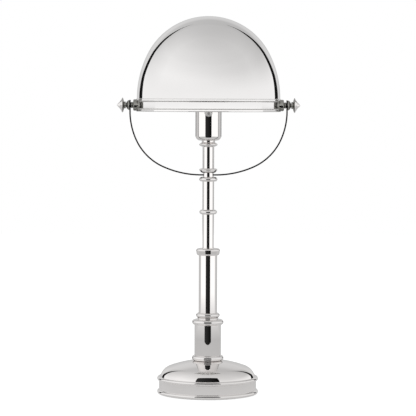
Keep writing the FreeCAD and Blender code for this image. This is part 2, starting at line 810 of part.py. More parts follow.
def make_band():
    inner = BAND_R - BAND_WALL
    upstand = dome_r - DOME_WALL - RUNNING
    ring = turned(
        (inner, band_low_z),
        *band_outer_steps(),
        (upstand, band_top_z),
        (upstand, band_top_z + UPSTAND_H),
        (inner, band_top_z + UPSTAND_H),
    )
    shank_way = Part.makeCylinder(SHANK_R + RUNNING, 4 * BAND_R, V(-2 * BAND_R, 0, pivot_z), V(1, 0, 0))
    return ring.cut(shank_way)


def make_dome():
    """Spun dome: an upright side arc that runs smoothly into a tighter crown arc."""
    side_centre = (-DOME_SIDE_PAST, band_top_z)
    side_r = dome_r + DOME_SIDE_PAST
    between = DOME_SIDE_PAST / math.cos(math.radians(DOME_TURN))
    crown_r = side_r - between
    crown_centre = (0, band_top_z + between * math.sin(math.radians(DOME_TURN)))
    return turned(
        (dome_r - DOME_WALL, band_top_z),
        (dome_r, band_top_z),
        sweep(side_centre, side_r, 0, DOME_TURN),
        sweep(crown_centre, crown_r, DOME_TURN, 90),
        (0, crown_centre[1] + crown_r - DOME_WALL),
        sweep(crown_centre, crown_r - DOME_WALL, 90, DOME_TURN),
        sweep(side_centre, side_r - DOME_WALL, DOME_TURN, 0),
    )


# ---------------------------------------------------------------- socket, switch and bulb

knob_z = cup_top_z - KNOB_Z_BELOW_MOUTH
cup_floor_z = cup_z + CUP_WALL
socket_top_z = cup_top_z - SOCKET_TOP_INSET
well_z = socket_top_z - SHELL_LEN
contact_z = well_z - CONTACT_WELL_H
bulb_tip_z = contact_z + CONTACT_T
insulator_z = bulb_tip_z + BULB_TIP_H
bulb_cap_z = insulator_z + BULB_INSULATOR_H
bulb_cap_top_z = bulb_cap_z + BULB_CAP_H


def make_cup_collar():
    spigot = stem_bore - SLIP
    edge = (STEM_R + COLLAR_LENS_PROUD - COLLAR_LENS_EDGE_R, lens_z + COLLAR_LENS_H / 2)
    return turned(
        (PIPE_R, lens_z - SPIGOT_LEN),
        (spigot, lens_z - SPIGOT_LEN),
        (spigot, lens_z),
        (STEM_R, lens_z),
        on_arc(edge, COLLAR_LENS_EDGE_R, -COLLAR_LENS_EDGE_TURN),
        sweep(edge, COLLAR_LENS_EDGE_R, -COLLAR_LENS_EDGE_TURN, COLLAR_LENS_EDGE_TURN),
        (CUP_NECK_R, cup_neck_z),
        (CUP_NECK_R, cup_z),
        (PIPE_R, cup_z),
    )


def make_cup():
    corner = (CUP_R - CUP_CORNER_R, cup_z + CUP_CORNER_R)
    inner = CUP_R - CUP_WALL
    lip = (CUP_R, cup_top_z - CUP_LIP_R)
    shape = turned(
        (PIPE_R + RUNNING, cup_z),
        (corner[0], cup_z),
        sweep(corner, CUP_CORNER_R, -90, 0),
        (CUP_R, lip[1] - CUP_LIP_R),
        sweep(lip, CUP_LIP_R, -90, 90),
        (inner, cup_top_z),
        (inner, corner[1]),
        sweep(corner, CUP_CORNER_R - CUP_WALL, 0, -90),
        (PIPE_R + RUNNING, cup_floor_z),
    )
    return shape.cut(rod_along_y(SWITCH_COLLAR_R + RUNNING, -2 * CUP_R, 0, knob_z))


def make_socket_body():
    taper_z = cup_floor_z + SOCKET_TAPER_H
    pipe_top = cup_floor_z + PIPE_INTO_SOCKET
    body = turned(
        (PIPE_R, cup_floor_z),
        (SOCKET_SEAT_R, cup_floor_z),
        (SOCKET_BODY_R, taper_z),
        (SOCKET_BODY_R, socket_top_z),
        (SHELL_R, socket_top_z),
        (SHELL_R, well_z),
        (CONTACT_WELL_R, well_z),
        (CONTACT_WELL_R, contact_z),
        (0, contact_z),
        (0, pipe_top),
        (PIPE_R, pipe_top),
    )
    front = SOCKET_BODY_R - SWITCH_SHAFT_IN
    return body.cut(rod_along_y(SWITCH_SHAFT_R + RUNNING, -2 * CUP_R, -front, knob_z))


def make_screw_shell():
    return tube(SHELL_R, SHELL_R - SHELL_WALL, well_z, socket_top_z)


def bulb_profile(inset):
    """Outline steps of the bulb, from its neck to the crown, some millimetres inside."""
    blend = math.radians(BULB_BLEND)
    neck_r = (BULB_R * math.cos(blend) - bulb_neck_r) / (1 - math.cos(blend))
    shoulder_z = bulb_cap_top_z
    globe = (0, shoulder_z + (neck_r + BULB_R) * math.sin(blend))
    hollow = (bulb_neck_r + neck_r, shoulder_z)
    return (
        (bulb_neck_r - inset, shoulder_z),
        sweep(hollow, neck_r + inset, 180, 180 - BULB_BLEND),
        sweep(globe, BULB_R - inset, -BULB_BLEND, 90),
    )


def make_bulb_glass():
    outside = bulb_profile(0)
    inside = bulb_profile(BULB_WALL)
    inner_bottom = (bulb_neck_r - BULB_WALL, bulb_cap_top_z - BULB_NECK_IN)
    outer_bottom = (bulb_neck_r, bulb_cap_top_z - BULB_NECK_IN)
    solid = turned((0, outer_bottom[1]), outer_bottom, *outside)
    hollow = turned((0, inner_bottom[1]), inner_bottom, *inside)
    return solid.cut(hollow)


def make_bulb_cap():
    inner = BULB_CAP_R - BULB_CAP_WALL
    floor = BULB_INSULATOR_R
    return turned(
        (floor, bulb_cap_z),
        (BULB_CAP_R - BULB_CAP_CHAMFER, bulb_cap_z),
        (BULB_CAP_R, bulb_cap_z + BULB_CAP_CHAMFER),
        (BULB_CAP_R, bulb_cap_top_z),
        (inner, bulb_cap_top_z),
        (inner, bulb_cap_z + BULB_CAP_FLOOR),
        (floor, bulb_cap_z + BULB_CAP_FLOOR),
    )


def make_bulb_insulator():
    return turned(
        (0, insulator_z),
        (BULB_TIP_R, insulator_z),
        (BULB_INSULATOR_R, bulb_cap_z),
        (BULB_INSULATOR_R, bulb_cap_z + BULB_CAP_FLOOR),
        (0, bulb_cap_z + BULB_CAP_FLOOR),
    )


def make_bulb_tip():
    radius = cap_radius(BULB_TIP_R, BULB_TIP_H)
    centre = (0, bulb_tip_z + radius)
    return turned(
        (0, bulb_tip_z),
        sweep(centre, radius, -90, degrees_of(centre, (BULB_TIP_R, insulator_z))),
        (0, insulator_z),
    )


def make_switch_collar():
    """Threaded collar and its thin nut, through the wall of the cup."""
    inner = SWITCH_SHAFT_R + RUNNING
    start_y = -SOCKET_BODY_R
    wall_y = -CUP_R
    collar = facing_front(tube(SWITCH_COLLAR_R, inner, 0, start_y - wall_y + SWITCH_NUT_T), start_y, knob_z)
    nut = facing_front(tube(SWITCH_NUT_R, inner, 0, 2 * SWITCH_NUT_T), wall_y + SWITCH_NUT_T, knob_z)
    cup_plug = Part.makeCylinder(CUP_R, CUP_H, V(0, 0, cup_z))
    return joined(nut.cut(cup_plug), collar)


def make_switch_knob():
    """Turned knob with a domed face and a fluted side."""
    foot_y = -CUP_R - SWITCH_NUT_T - FACE_GAP
    side_end = KNOB_LEN - KNOB_CROWN
    crown = (0, KNOB_LEN - cap_radius(KNOB_R, KNOB_CROWN))
    knob = turned(
        (0, 0),
        (KNOB_NECK_R, 0),
        (KNOB_NECK_R, KNOB_NECK_LEN),
        (KNOB_R - KNOB_EDGE, KNOB_NECK_LEN),
        (KNOB_R, KNOB_NECK_LEN + KNOB_EDGE),
        (KNOB_R, side_end),
        sweep(crown, KNOB_LEN - crown[1], degrees_of(crown, (KNOB_R, side_end)), 90),
    )
    for index in range(KNOB_GROOVES):
        angle = 2 * math.pi * index / KNOB_GROOVES
        place = V(KNOB_R * math.cos(angle), KNOB_R * math.sin(angle), KNOB_NECK_LEN)
        knob = knob.cut(Part.makeCylinder(KNOB_GROOVE_R, side_end - KNOB_NECK_LEN, place))
    return facing_front(knob, foot_y, knob_z)


def make_switch_shaft():
    front = CUP_R + SWITCH_NUT_T + FACE_GAP
    back = SOCKET_BODY_R - SWITCH_SHAFT_IN + RUNNING
    return rod_along_y(SWITCH_SHAFT_R, -front, -back, knob_z)


# ---------------------------------------------------------------- all pieces

base_shell = make_base_shell()
band = make_band()
band_plug = turned((BAND_R - BAND_WALL, band_low_z), *band_outer_steps(), (BAND_R - BAND_WALL, band_top_z))
yoke_way = strip(YOKE_T / 2, YOKE_T / 2 + SLOT_ROOM, YOKE_DEPTH)

pieces = {
    "felt_pad": turned((0, 0), (base_dome_r - BASE_WALL - FELT_EDGE, 0),
                       (base_dome_r - BASE_WALL - FELT_EDGE, FELT_T), (0, FELT_T)),
    "base_shell": base_shell,
    "base_weight": make_base_weight(),
    "lock_washer": tube(WASHER_R, PIPE_R + RUNNING, washer_z, washer_z + WASHER_T),
    "lock_nut": make_lock_nut(),
    "base_pipe": tube(PIPE_R, PIPE_BORE_R, nut_z - PIPE_END, landing_z + PIPE_GRIP),
    "cord_bushing": make_cord_bushing(base_shell),
    "drum_foot": make_drum_foot(),
    "drum": tube(DRUM_R, DRUM_R - DRUM_WALL, drum_z, drum_top_z),
    "drum_cap": make_drum_cap(),
    "column_collar": make_column_collar(),
    "column": tube(COLUMN_R, COLUMN_R - COLUMN_WALL, column_z, column_top_z),
    "column_cap": make_column_cap(),
    "lower_stem": tube(STEM_R, stem_bore, lower_stem_z, stem_bead_z),
    "stem_ring": make_stem_ring(),
    "middle_stem": tube(STEM_R, stem_bore, middle_stem_z, hub_bead_z),
    "hub_ring": make_hub_ring(),
    "yoke_hub": make_yoke_hub(yoke_way),
    "hub_grub_screw": make_hub_grub_screw(),
    "hub_crown_ring": make_hub_crown(),
    "upper_stem": tube(STEM_R, stem_bore, upper_stem_z, lens_z),
    "cup_collar": make_cup_collar(),
    "cup_pipe": tube(PIPE_R, PIPE_BORE_R, cup_z - SPIGOT_LEN, cup_floor_z + PIPE_INTO_SOCKET),
    "socket_cup": make_cup(),
    "socket_body": make_socket_body(),
    "screw_shell": make_screw_shell(),
    "centre_contact": Part.makeCylinder(CONTACT_R, CONTACT_T, V(0, 0, contact_z)),
    "bulb_tip": make_bulb_tip(),
    "bulb_insulator": make_bulb_insulator(),
    "bulb_cap": make_bulb_cap(),
    "bulb_glass": make_bulb_glass(),
    "switch_collar": make_switch_collar(),
    "switch_shaft": make_switch_shaft(),
    "switch_knob": make_switch_knob(),
    "yoke": make_yoke(),
    "shade_band": band,
    "shade_dome": make_dome(),
}
for word, side in (("left", -1), ("right", 1)):
    pieces["bell_washer_" + word] = make_bell_washer(side)
    pieces["pivot_spacer_" + word] = make_spacer(side)
    pieces["pivot_boss_" + word] = make_pivot_boss(side, band_plug)
    pieces["pivot_nut_" + word] = make_pivot_nut(side, band_plug)
    pieces["finial_screw_" + word] = make_finial_screw(side)

os.makedirs("parts", exist_ok=True)
for name, shape in pieces.items():
    shape.exportStep("parts/" + name + ".step")
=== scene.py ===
import math

import bmesh
import bpy
from mathutils import Matrix, Vector


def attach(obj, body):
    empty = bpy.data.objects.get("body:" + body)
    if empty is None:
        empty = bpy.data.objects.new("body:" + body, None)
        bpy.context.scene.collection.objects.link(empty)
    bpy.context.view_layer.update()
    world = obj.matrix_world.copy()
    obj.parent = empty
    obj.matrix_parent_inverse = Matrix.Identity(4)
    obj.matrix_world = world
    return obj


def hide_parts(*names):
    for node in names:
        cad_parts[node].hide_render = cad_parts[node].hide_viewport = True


# Dome shade desk lamp in polished nickel. Sizes are in millimetres and become metres in the meshes.

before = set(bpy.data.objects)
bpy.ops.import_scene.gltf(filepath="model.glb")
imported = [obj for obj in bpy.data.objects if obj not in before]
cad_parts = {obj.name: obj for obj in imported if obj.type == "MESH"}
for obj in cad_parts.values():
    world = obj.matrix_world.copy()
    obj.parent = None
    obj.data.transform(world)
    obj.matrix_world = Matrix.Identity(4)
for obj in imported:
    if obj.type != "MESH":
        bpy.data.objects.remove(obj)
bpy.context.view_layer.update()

MM = 0.001
SEGMENTS = 192         # round a large turned piece
SMALL_SEGMENTS = 96    # round a small one
BAND_SEGMENTS = 512    # round the shade band, whose mirror shows every facet
DOME_SEGMENTS = 256
CORNER = math.radians(24)          # outline corners sharper than this are rounded
HARD_EDGE = math.radians(40)       # edges sharper than this aren't shaded smooth

# ---------------------------------------------------------------- sizes
RIM_Z = 0.8
BEAD_LOW_Z = 4.2
BEAD_HIGH_Z = 25.5
BASE_BEAD = (78.35, 3.4)         # radius of the ring and of its section
BASE_BAND_R = 78.7
BASE_DOME_R = 77.0
KNUCKLE = (55.0, 24.0)           # centre of the arc between bead and crown
KNUCKLE_R = 22.0
CROWN_R = 180.0
CROWN_Z = KNUCKLE[1] - math.sqrt((CROWN_R - KNUCKLE_R) ** 2 - KNUCKLE[0] ** 2)
LANDING_R = 24.0
LANDING_Z = CROWN_Z + math.sqrt(CROWN_R ** 2 - LANDING_R ** 2)
BASE_WALL = 1.6
PIPE_HOLE_R = 5.1
FELT_T = 1.6
FELT_EDGE_R = 0.5
BUSH_Z = (BEAD_LOW_Z + BEAD_HIGH_Z) / 2
BUSH_BORE_R = 3.3
BUSH_R = 4.95
BUSH_END_Y = 73.0                # inner end, from the lamp's axis
BUSH_FLANGE_R = 7.0

# rings on the tubes: height, and how far each stands out
DRUM_FOOT = (8.6, 4.2)
COLLAR = (7.2, 4.3)
STEM_RING = (7.4, 4.9)
HUB_RING = (7.2, 5.5)

DRUM_R = 21.5
DRUM_Z = LANDING_Z + DRUM_FOOT[0]
DRUM_TOP_Z = DRUM_Z + 49.6
NECK_Z = DRUM_TOP_Z + 8.6
CAP_NECK_R = 16.6
COLLAR_Z = NECK_Z + 3.3
COLUMN_R = 15.0
COLUMN_BORE_R = 13.5
COLUMN_Z = COLLAR_Z + COLLAR[0]
COLUMN_TOP_Z = COLUMN_Z + 93.6
STEM_R = 9.2
STEM_BORE_R = 7.7
LOWER_STEM_Z = COLUMN_TOP_Z + 11.8
STEM_BEAD_Z = LOWER_STEM_Z + 54.4
MIDDLE_STEM_Z = STEM_BEAD_Z + STEM_RING[0]
HUB_BEAD_Z = MIDDLE_STEM_Z + 45.7
HUB_NECK_Z = HUB_BEAD_Z + HUB_RING[0]
HUB_NECK_R = 8.7
HUB_CROWN_Z = HUB_NECK_Z + 6.8
UPPER_STEM_Z = HUB_CROWN_Z + 6.8
LENS_Z = UPPER_STEM_Z + 35.0
CUP_NECK_Z = LENS_Z + 7.4
CUP_NECK_R = 10.45
CUP_Z = CUP_NECK_Z + 2.8
CUP_R = 20.9
CUP_WALL = 1.2
CUP_CORNER_R = 8.0
CUP_LIP_R = 0.9
CUP_TOP_Z = CUP_Z + 58.0

YOKE_Z = HUB_NECK_Z + 3.4
YOKE_RISE = 112.2
PIVOT_Z = YOKE_Z + YOKE_RISE
YOKE_T = 2.2
YOKE_DEPTH = 9.6
YOKE_FLOOR = (150.0, 24.0)       # arc radius, and slope in degrees at its end
YOKE_CORNER = (87.0, 66.0)
YOKE_END_FLAT = 9.5
EYE_R = 8.3

BAND_R = 113.8
BAND_WALL = 1.9
BAND_LOW_Z = PIVOT_Z - 10.3
BAND_TOP_Z = PIVOT_Z + 10.3
LIP_R = 116.4
LIP_H = 4.1
LIP_ROUND = 0.9
COVE_R = 1.1
DOME_R = 115.5
DOME_WALL = 1.0
DOME_SIDE_PAST = 44.5            # centre of the side arc beyond the axis
DOME_TURN = 27.13                # degrees of side arc before the crown arc

BOSS_R = 9.2
BOSS_LEN = 7.5
BOSS_EDGE_R = 1.6
BOSS_X = BAND_R + BOSS_LEN
SPACER_LEN = 4.1
SPACER_R = (4.1, 5.0)            # at its ends and in its middle
EYE_X = BOSS_X + SPACER_LEN
BELL_X = EYE_X + YOKE_T
BELL_LEN = 4.8
BELL_R = 8.0
FINIAL_X = BELL_X + BELL_LEN + 0.1
BORE_R = 2.6
SHANK_R = 2.5
SHANK_END = -26.0
FINIAL_R = 11.9
FINIAL_PAINTED_SHADE = 6.3                # up to this height the back of the finial is darkened: painted shade

KNOB_Z = CUP_TOP_Z - 13.0
KNOB_FOOT_Y = -CUP_R - 2.3
KNOB_R = 6.5
KNOB_LEN = 11.0
KNOB_CROWN = 3.6
KNOB_FLUTES = 20
KNOB_STEP = (4.0, 2.0)           # radius and length of the plain foot
KNOB_GROOVE = 0.5
KNOB_SHOULDER = 0.4

SOCKET_TOP_Z = CUP_TOP_Z - 4.0
WELL_Z = SOCKET_TOP_Z - 22.0
BULB_CAP_Z = WELL_Z - 4.0 + 1.0 + 2.2 + 2.6      # over the contact well, contact, tip and insulator
BULB_CAP_TOP_Z = BULB_CAP_Z + 21.0
BULB_NECK_R = 12.7
BULB_R = 30.0
BULB_WALL = 0.8
BULB_BLEND = 35.0                # degrees below the equator where the neck begins


# ---------------------------------------------------------------- outlines
def on_arc(centre, radius, degrees):
    angle = math.radians(degrees)
    return (centre[0] + radius * math.cos(angle), centre[1] + radius * math.sin(angle))


def arc(centre, radius, begin, end):
    """Points of an arc, close enough together for a mirror finish."""
    step = 1.2 if radius > 40 else 3.0 if radius > 5 else 12.0
    count = max(3, math.ceil(abs(end - begin) / step))
    return [on_arc(centre, radius, begin + (end - begin) * i / count) for i in range(count + 1)]


def through(a, b, c):
    """Arc from a over b to c."""
    ax, ay, bx, by, cx, cy = *a, *b, *c
    d = 2 * (ax * (by - cy) + bx * (cy - ay) + cx * (ay - by))
    aa, bb, cc = ax ** 2 + ay ** 2, bx ** 2 + by ** 2, cx ** 2 + cy ** 2
    ux = (aa * (by - cy) + bb * (cy - ay) + cc * (ay - by)) / d
    uy = (aa * (cx - bx) + bb * (ax - cx) + cc * (bx - ax)) / d
    radius = math.hypot(ax - ux, ay - uy)
    begin = math.degrees(math.atan2(ay - uy, ax - ux))
    turn_b = (math.degrees(math.atan2(by - uy, bx - ux)) - begin) % 360
    turn_c = (math.degrees(math.atan2(cy - uy, cx - ux)) - begin) % 360
    if turn_b > turn_c:
        turn_c -= 360
    return arc((ux, uy), radius, begin, begin + turn_c)


def bulged(a, c, bulge):
    """Arc between two points that stands out by a bulge."""
    out = bulge / math.dist(a, c)
    return through(a, ((a[0] + c[0]) / 2 + out * (c[1] - a[1]), (a[1] + c[1]) / 2 - out * (c[0] - a[0])), c)


def bead(low, ring, root_r):
    """Round edge of a ring, from its lower to its upper face."""
    height, proud = ring
    shoulder = root_r + max(0, proud - height / 2)
    return through((shoulder, low), (root_r + proud, low + height / 2), (shoulder, low + height))


def softened(points, radius, closed):
    """Round the corners of an outline, and add points beside them so that flats stay flat."""
    kept = [p for i, p in enumerate(points) if i == 0 or math.dist(p, points[i - 1]) > 1e-4]
    if closed and math.dist(kept[0], kept[-1]) < 1e-4:
        kept.pop()
    count = len(kept)
    out = []
    for i, here in enumerate(kept):
        if not closed and i in (0, count - 1):
            out.append(here)
            continue
        before, after = kept[i - 1], kept[(i + 1) % count]
        into = (here[0] - before[0], here[1] - before[1])
        away = (after[0] - here[0], after[1] - here[1])
        turn = math.atan2(into[0] * away[1] - into[1] * away[0], into[0] * away[0] + into[1] * away[1])
        if abs(turn) < CORNER or here[0] < 0.01:
            out.append(here)
            continue
        cut = min(radius, 0.4 * math.hypot(*into), 0.4 * math.hypot(*away))
        start = tuple(here[k] - into[k] / math.hypot(*into) * cut for k in (0, 1))
        stop = tuple(here[k] + away[k] / math.hypot(*away) * cut for k in (0, 1))
        for t in (0, 0.25, 0.5, 0.75, 1):
            curve = [start[k] * (1 - t) ** 2 + 2 * here[k] * t * (1 - t) + stop[k] * t ** 2 for k in (0, 1)]
            out.append(tuple(curve))
    dense = []
    for i, here in enumerate(out):
        dense.append(here)
        if i + 1 == len(out) and not closed:
            break
        after = out[(i + 1) % len(out)]
        span = math.dist(here, after)
        if span > 1.5:
            inset = 0.25 / span
            cuts = max(1, round(span / 12))
            stops = [inset] + [k / cuts for k in range(1, cuts)] + [1 - inset]
            dense += [tuple(here[k] + (after[k] - here[k]) * t for k in (0, 1)) for t in stops]
    return dense


# ---------------------------------------------------------------- meshes
def finish_mesh(name, bm, materials):
    bmesh.ops.remove_doubles(bm, verts=bm.verts, dist=2e-7)
    bmesh.ops.recalc_face_normals(bm, faces=bm.faces)
    for face in bm.faces:
        face.smooth = True
    for edge in bm.edges:
        if len(edge.link_faces) == 2 and edge.calc_face_angle(0) > HARD_EDGE:
            edge.smooth = False
    mesh = bpy.data.meshes.new(name)
    bm.to_mesh(mesh)
    bm.free()
    for material in materials:
        mesh.materials.append(material)
    thing = bpy.data.objects.new(name, mesh)
    bpy.context.scene.collection.objects.link(thing)
    return thing


def spin(bm, points, segments, place, index=None):
    """Add a closed outline turned about Z. index tells the material of the stretch after each point."""
    rings = []
    for r, z in points:
        if r < 0.005:
            rings.append([bm.verts.new(place @ Vector((0, 0, z * MM)))])
            continue
        ring = []
        for k in range(segments):
            angle = 2 * math.pi * k / segments
            spot = Vector((r * MM * math.cos(angle), r * MM * math.sin(angle), z * MM))
            ring.append(bm.verts.new(place @ spot))
        rings.append(ring)
    for i, ring in enumerate(rings):
        other = rings[(i + 1) % len(rings)]
        if len(ring) == 1 and len(other) == 1:
            continue
        for k in range(segments):
            n = (k + 1) % segments
            if len(ring) == 1:
                corners = (ring[0], other[n], other[k])
            elif len(other) == 1:
                corners = (ring[k], ring[n], other[0])
            else:
                corners = (ring[k], ring[n], other[n], other[k])
            face = bm.faces.new(corners)
            if index is not None:
                face.material_index = index(points[i], points[(i + 1) % len(points)])


def turned(name, points, materials, body, cad, corner=0.25, segments=SEGMENTS, place=Matrix.Identity(4),
           index=None):
    """A piece turned on a lathe, riding on a body in the place of its CAD node."""
    bm = bmesh.new()
    spin(bm, softened(points, corner, True), segments, place, index)
    thing = finish_mesh(name, bm, materials if isinstance(materials, list) else [materials])
    return dressed(thing, body, cad)


def dressed(thing, body, cad):
    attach(thing, body)
    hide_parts(*([cad] if isinstance(cad, str) else cad))
    return thing


def on_tilt_axis(x, side):
    """Place of a piece turned about Z whose foot lies at x on the tilt axis, pointing outwards."""
    turn = Matrix.Rotation(math.radians(90 * side), 4, "Y")
    return Matrix.Translation((side * x * MM, 0, PIVOT_Z * MM)) @ turn


def facing_front(y, z):
    return Matrix.Translation((0, y * MM, z * MM)) @ Matrix.Rotation(math.radians(90), 4, "X")


# ---------------------------------------------------------------- shader helpers
def add(tree, kind):
    return tree.nodes.new(kind)


def wire(tree, source, target):
    """Join a socket to an input, or set the input to a number or a colour."""
    if isinstance(source, (int, float)):
        target.default_value = source
    elif isinstance(source, tuple):
        target.default_value = (*source, 1)
    else:
        tree.links.new(source, target)


def sum_of(tree, operation, first, second=None, third=None):
    node = add(tree, "ShaderNodeMath")
    node.operation = operation
    for socket, value in zip(node.inputs, (first, second, third)):
        if value is not None:
            wire(tree, value, socket)
    return node.outputs[0]


def span_of(tree, value, from_low, from_high, to_low=0.0, to_high=1.0, smooth=False):
    node = add(tree, "ShaderNodeMapRange")
    node.interpolation_type = "SMOOTHSTEP" if smooth else "LINEAR"
    for socket, number in zip(node.inputs, (value, from_low, from_high, to_low, to_high)):
        wire(tree, number, socket)
    return node.outputs["Result"]


def mix_colour(tree, factor, a, b):
    node = add(tree, "ShaderNodeMix")
    node.data_type = "RGBA"
    for number, value in ((0, factor), (6, a), (7, b)):
        wire(tree, value, node.inputs[number])
    return node.outputs[2]


def noise(tree, vector, scale, detail, roughness=0.5):
    node = add(tree, "ShaderNodeTexNoise")
    for name, value in (("Vector", vector), ("Scale", scale), ("Detail", detail), ("Roughness", roughness)):
        wire(tree, value, node.inputs[name])
    return node.outputs["Fac"]


def group(name, inputs, outputs):
    """A shader node group with named number inputs and outputs, and a Vector input for the place."""
    tree = bpy.data.node_groups.new(name, "ShaderNodeTree")
    tree.interface.new_socket("Place", in_out="INPUT", socket_type="NodeSocketVector")
    for label, value in inputs.items():
        socket = tree.interface.new_socket(label, in_out="INPUT", socket_type="NodeSocketFloat")
        socket.default_value = value
    for label, kind in outputs.items():
        tree.interface.new_socket(label, in_out="OUTPUT", socket_type=kind)
    return tree, add(tree, "NodeGroupInput"), add(tree, "NodeGroupOutput")


def use(tree, made, place, **values):
    node = add(tree, "ShaderNodeGroup")
    node.node_tree = made
    wire(tree, place, node.inputs["Place"])
    for label, value in values.items():
        node.inputs[label.replace("_", " ")].default_value = value
    return node


# ---------------------------------------------------------------- shader groups
def make_lathe_lines():
    """Fine grooves left by turning and spinning: rings about Z, finer than the eye can count."""
    tree, inside, outside = group("lathe lines", {"Fineness": 2500.0}, {"Height": "NodeSocketFloat"})
    place = add(tree, "ShaderNodeSeparateXYZ")
    wire(tree, inside.outputs["Place"], place.inputs[0])
    across = sum_of(tree, "POWER", place.outputs["X"], 2.0)
    along = sum_of(tree, "POWER", place.outputs["Y"], 2.0)
    radius = sum_of(tree, "SQRT", sum_of(tree, "ADD", across, along))
    angle = sum_of(tree, "ARCTAN2", place.outputs["Y"], place.outputs["X"])
    at = add(tree, "ShaderNodeCombineXYZ")
    wire(tree, sum_of(tree, "MULTIPLY", radius, inside.outputs["Fineness"]), at.inputs["X"])
    wire(tree, sum_of(tree, "MULTIPLY", place.outputs["Z"], inside.outputs["Fineness"]), at.inputs["Y"])
    wire(tree, sum_of(tree, "MULTIPLY", angle, 1.5), at.inputs["Z"])
    lines = noise(tree, at.outputs[0], 1.0, 3.0, 0.6)
    patches = noise(tree, inside.outputs["Place"], 40.0, 2.0)
    kept = span_of(tree, patches, 0.35, 0.7)
    wire(tree, sum_of(tree, "MULTIPLY", lines, kept), outside.inputs["Height"])
    return tree


def make_hairlines():
    """Thin cleaning scratches that cross each other in every direction."""
    tree, inside, outside = group("hairlines", {"Fineness": 900.0, "Amount": 0.5}, {"Mask": "NodeSocketFloat"})
    total = None
    for turn in (0.3, 1.4, 2.5):
        mapping = add(tree, "ShaderNodeMapping")
        mapping.inputs["Rotation"].default_value = (turn, turn * 0.7, turn * 1.9)
        mapping.inputs["Scale"].default_value = (1.0, 0.03, 0.2)
        wire(tree, inside.outputs["Place"], mapping.inputs["Vector"])
        streaks = noise(tree, mapping.outputs[0], inside.outputs["Fineness"], 1.0)
        line = span_of(tree, streaks, 0.70, 0.76)
        total = line if total is None else sum_of(tree, "MAXIMUM", total, line)
    patches = span_of(tree, noise(tree, inside.outputs["Place"], 22.0, 3.0), 0.45, 0.65)
    worn = sum_of(tree, "MULTIPLY", total, patches)
    wire(tree, sum_of(tree, "MULTIPLY", worn, inside.outputs["Amount"]), outside.inputs["Mask"])
    return tree


def make_handling():
    """Soft clouds and touch marks that dull a polish a little."""
    tree, inside, outside = group("handling", {"Cloud size": 14.0, "Touch size": 60.0},
                                  {"Cloud": "NodeSocketFloat", "Touch": "NodeSocketFloat"})
    cloud = noise(tree, inside.outputs["Place"], inside.outputs["Cloud size"], 3.0)
    spots = add(tree, "ShaderNodeTexVoronoi")
    spots.feature = "SMOOTH_F1"
    wire(tree, inside.outputs["Place"], spots.inputs["Vector"])
    wire(tree, inside.outputs["Touch size"], spots.inputs["Scale"])
    near = span_of(tree, spots.outputs["Distance"], 0.18, 0.42, 1.0, 0.0, True)
    ridges = noise(tree, inside.outputs["Place"], 1500.0, 2.0)
    touch = sum_of(tree, "MULTIPLY", near, span_of(tree, ridges, 0.4, 0.6))
    wire(tree, span_of(tree, cloud, 0.3, 0.7, 0, 1, True), outside.inputs["Cloud"])
    wire(tree, touch, outside.inputs["Touch"])
    return tree


def make_grain():
    """Fine even grain for cast, moulded and woven surfaces."""
    tree, inside, outside = group("grain", {"Fineness": 900.0, "Coarse share": 0.3},
                                  {"Height": "NodeSocketFloat", "Tone": "NodeSocketFloat"})
    fine = noise(tree, inside.outputs["Place"], inside.outputs["Fineness"], 4.0)
    coarse = noise(tree, inside.outputs["Place"], 120.0, 3.0)
    mixed = sum_of(tree, "MULTIPLY_ADD", coarse, inside.outputs["Coarse share"], fine)
    wire(tree, mixed, outside.inputs["Height"])
    wire(tree, span_of(tree, coarse, 0.3, 0.7), outside.inputs["Tone"])
    return tree


LATHE_LINES = make_lathe_lines()
HAIRLINES = make_hairlines()
HANDLING = make_handling()
GRAIN = make_grain()


# ---------------------------------------------------------------- materials
def new_material(name):
    material = bpy.data.materials.new(name)
    material.use_nodes = True
    tree = material.node_tree
    shader = tree.nodes["Principled BSDF"]
    place = add(tree, "ShaderNodeTexCoord").outputs["Object"]
    return material, tree, shader, place


def bumped(tree, shader, height, strength, distance):
    node = add(tree, "ShaderNodeBump")
    node.inputs["Strength"].default_value = strength
    node.inputs["Distance"].default_value = distance
    wire(tree, height, node.inputs["Height"])
    wire(tree, node.outputs["Normal"], shader.inputs["Normal"])


def polished(name, colour, tarnish, smooth, dull, lines, fineness=2500.0):
    """Plated and buffed metal with faint turning lines, hairlines and handling marks."""
    material, tree, shader, place = new_material(name)
    turning = use(tree, LATHE_LINES, place, Fineness=fineness)
    scratches = use(tree, HAIRLINES, place, Fineness=900.0, Amount=0.6)
    marks = use(tree, HANDLING, place)
    shade = mix_colour(tree, span_of(tree, marks.outputs["Cloud"], 0, 1, 0.0, 0.55), colour, tarnish)
    wire(tree, shade, shader.inputs["Base Color"])
    haze = span_of(tree, marks.outputs["Cloud"], 0, 1, smooth, dull)
    haze = sum_of(tree, "MULTIPLY_ADD", marks.outputs["Touch"], 0.012, haze)
    haze = sum_of(tree, "MULTIPLY_ADD", scratches.outputs["Mask"], 0.03, haze)
    wire(tree, haze, shader.inputs["Roughness"])
    shader.inputs["Metallic"].default_value = 1.0
    relief = sum_of(tree, "MULTIPLY_ADD", scratches.outputs["Mask"], -0.06, turning.outputs["Height"])
    bumped(tree, shader, relief, lines, 0.000001)
    return material


def grained(name, dark, light, rough_low, rough_high, fineness, strength, distance, coat=0.0):
    material, tree, shader, place = new_material(name)
    texture = use(tree, GRAIN, place, Fineness=fineness)
    wire(tree, mix_colour(tree, texture.outputs["Tone"], dark, light), shader.inputs["Base Color"])
    wire(tree, span_of(tree, texture.outputs["Tone"], 0, 1, rough_low, rough_high), shader.inputs["Roughness"])
    shader.inputs["Coat Weight"].default_value = coat
    bumped(tree, shader, texture.outputs["Height"], strength, distance)
    return material


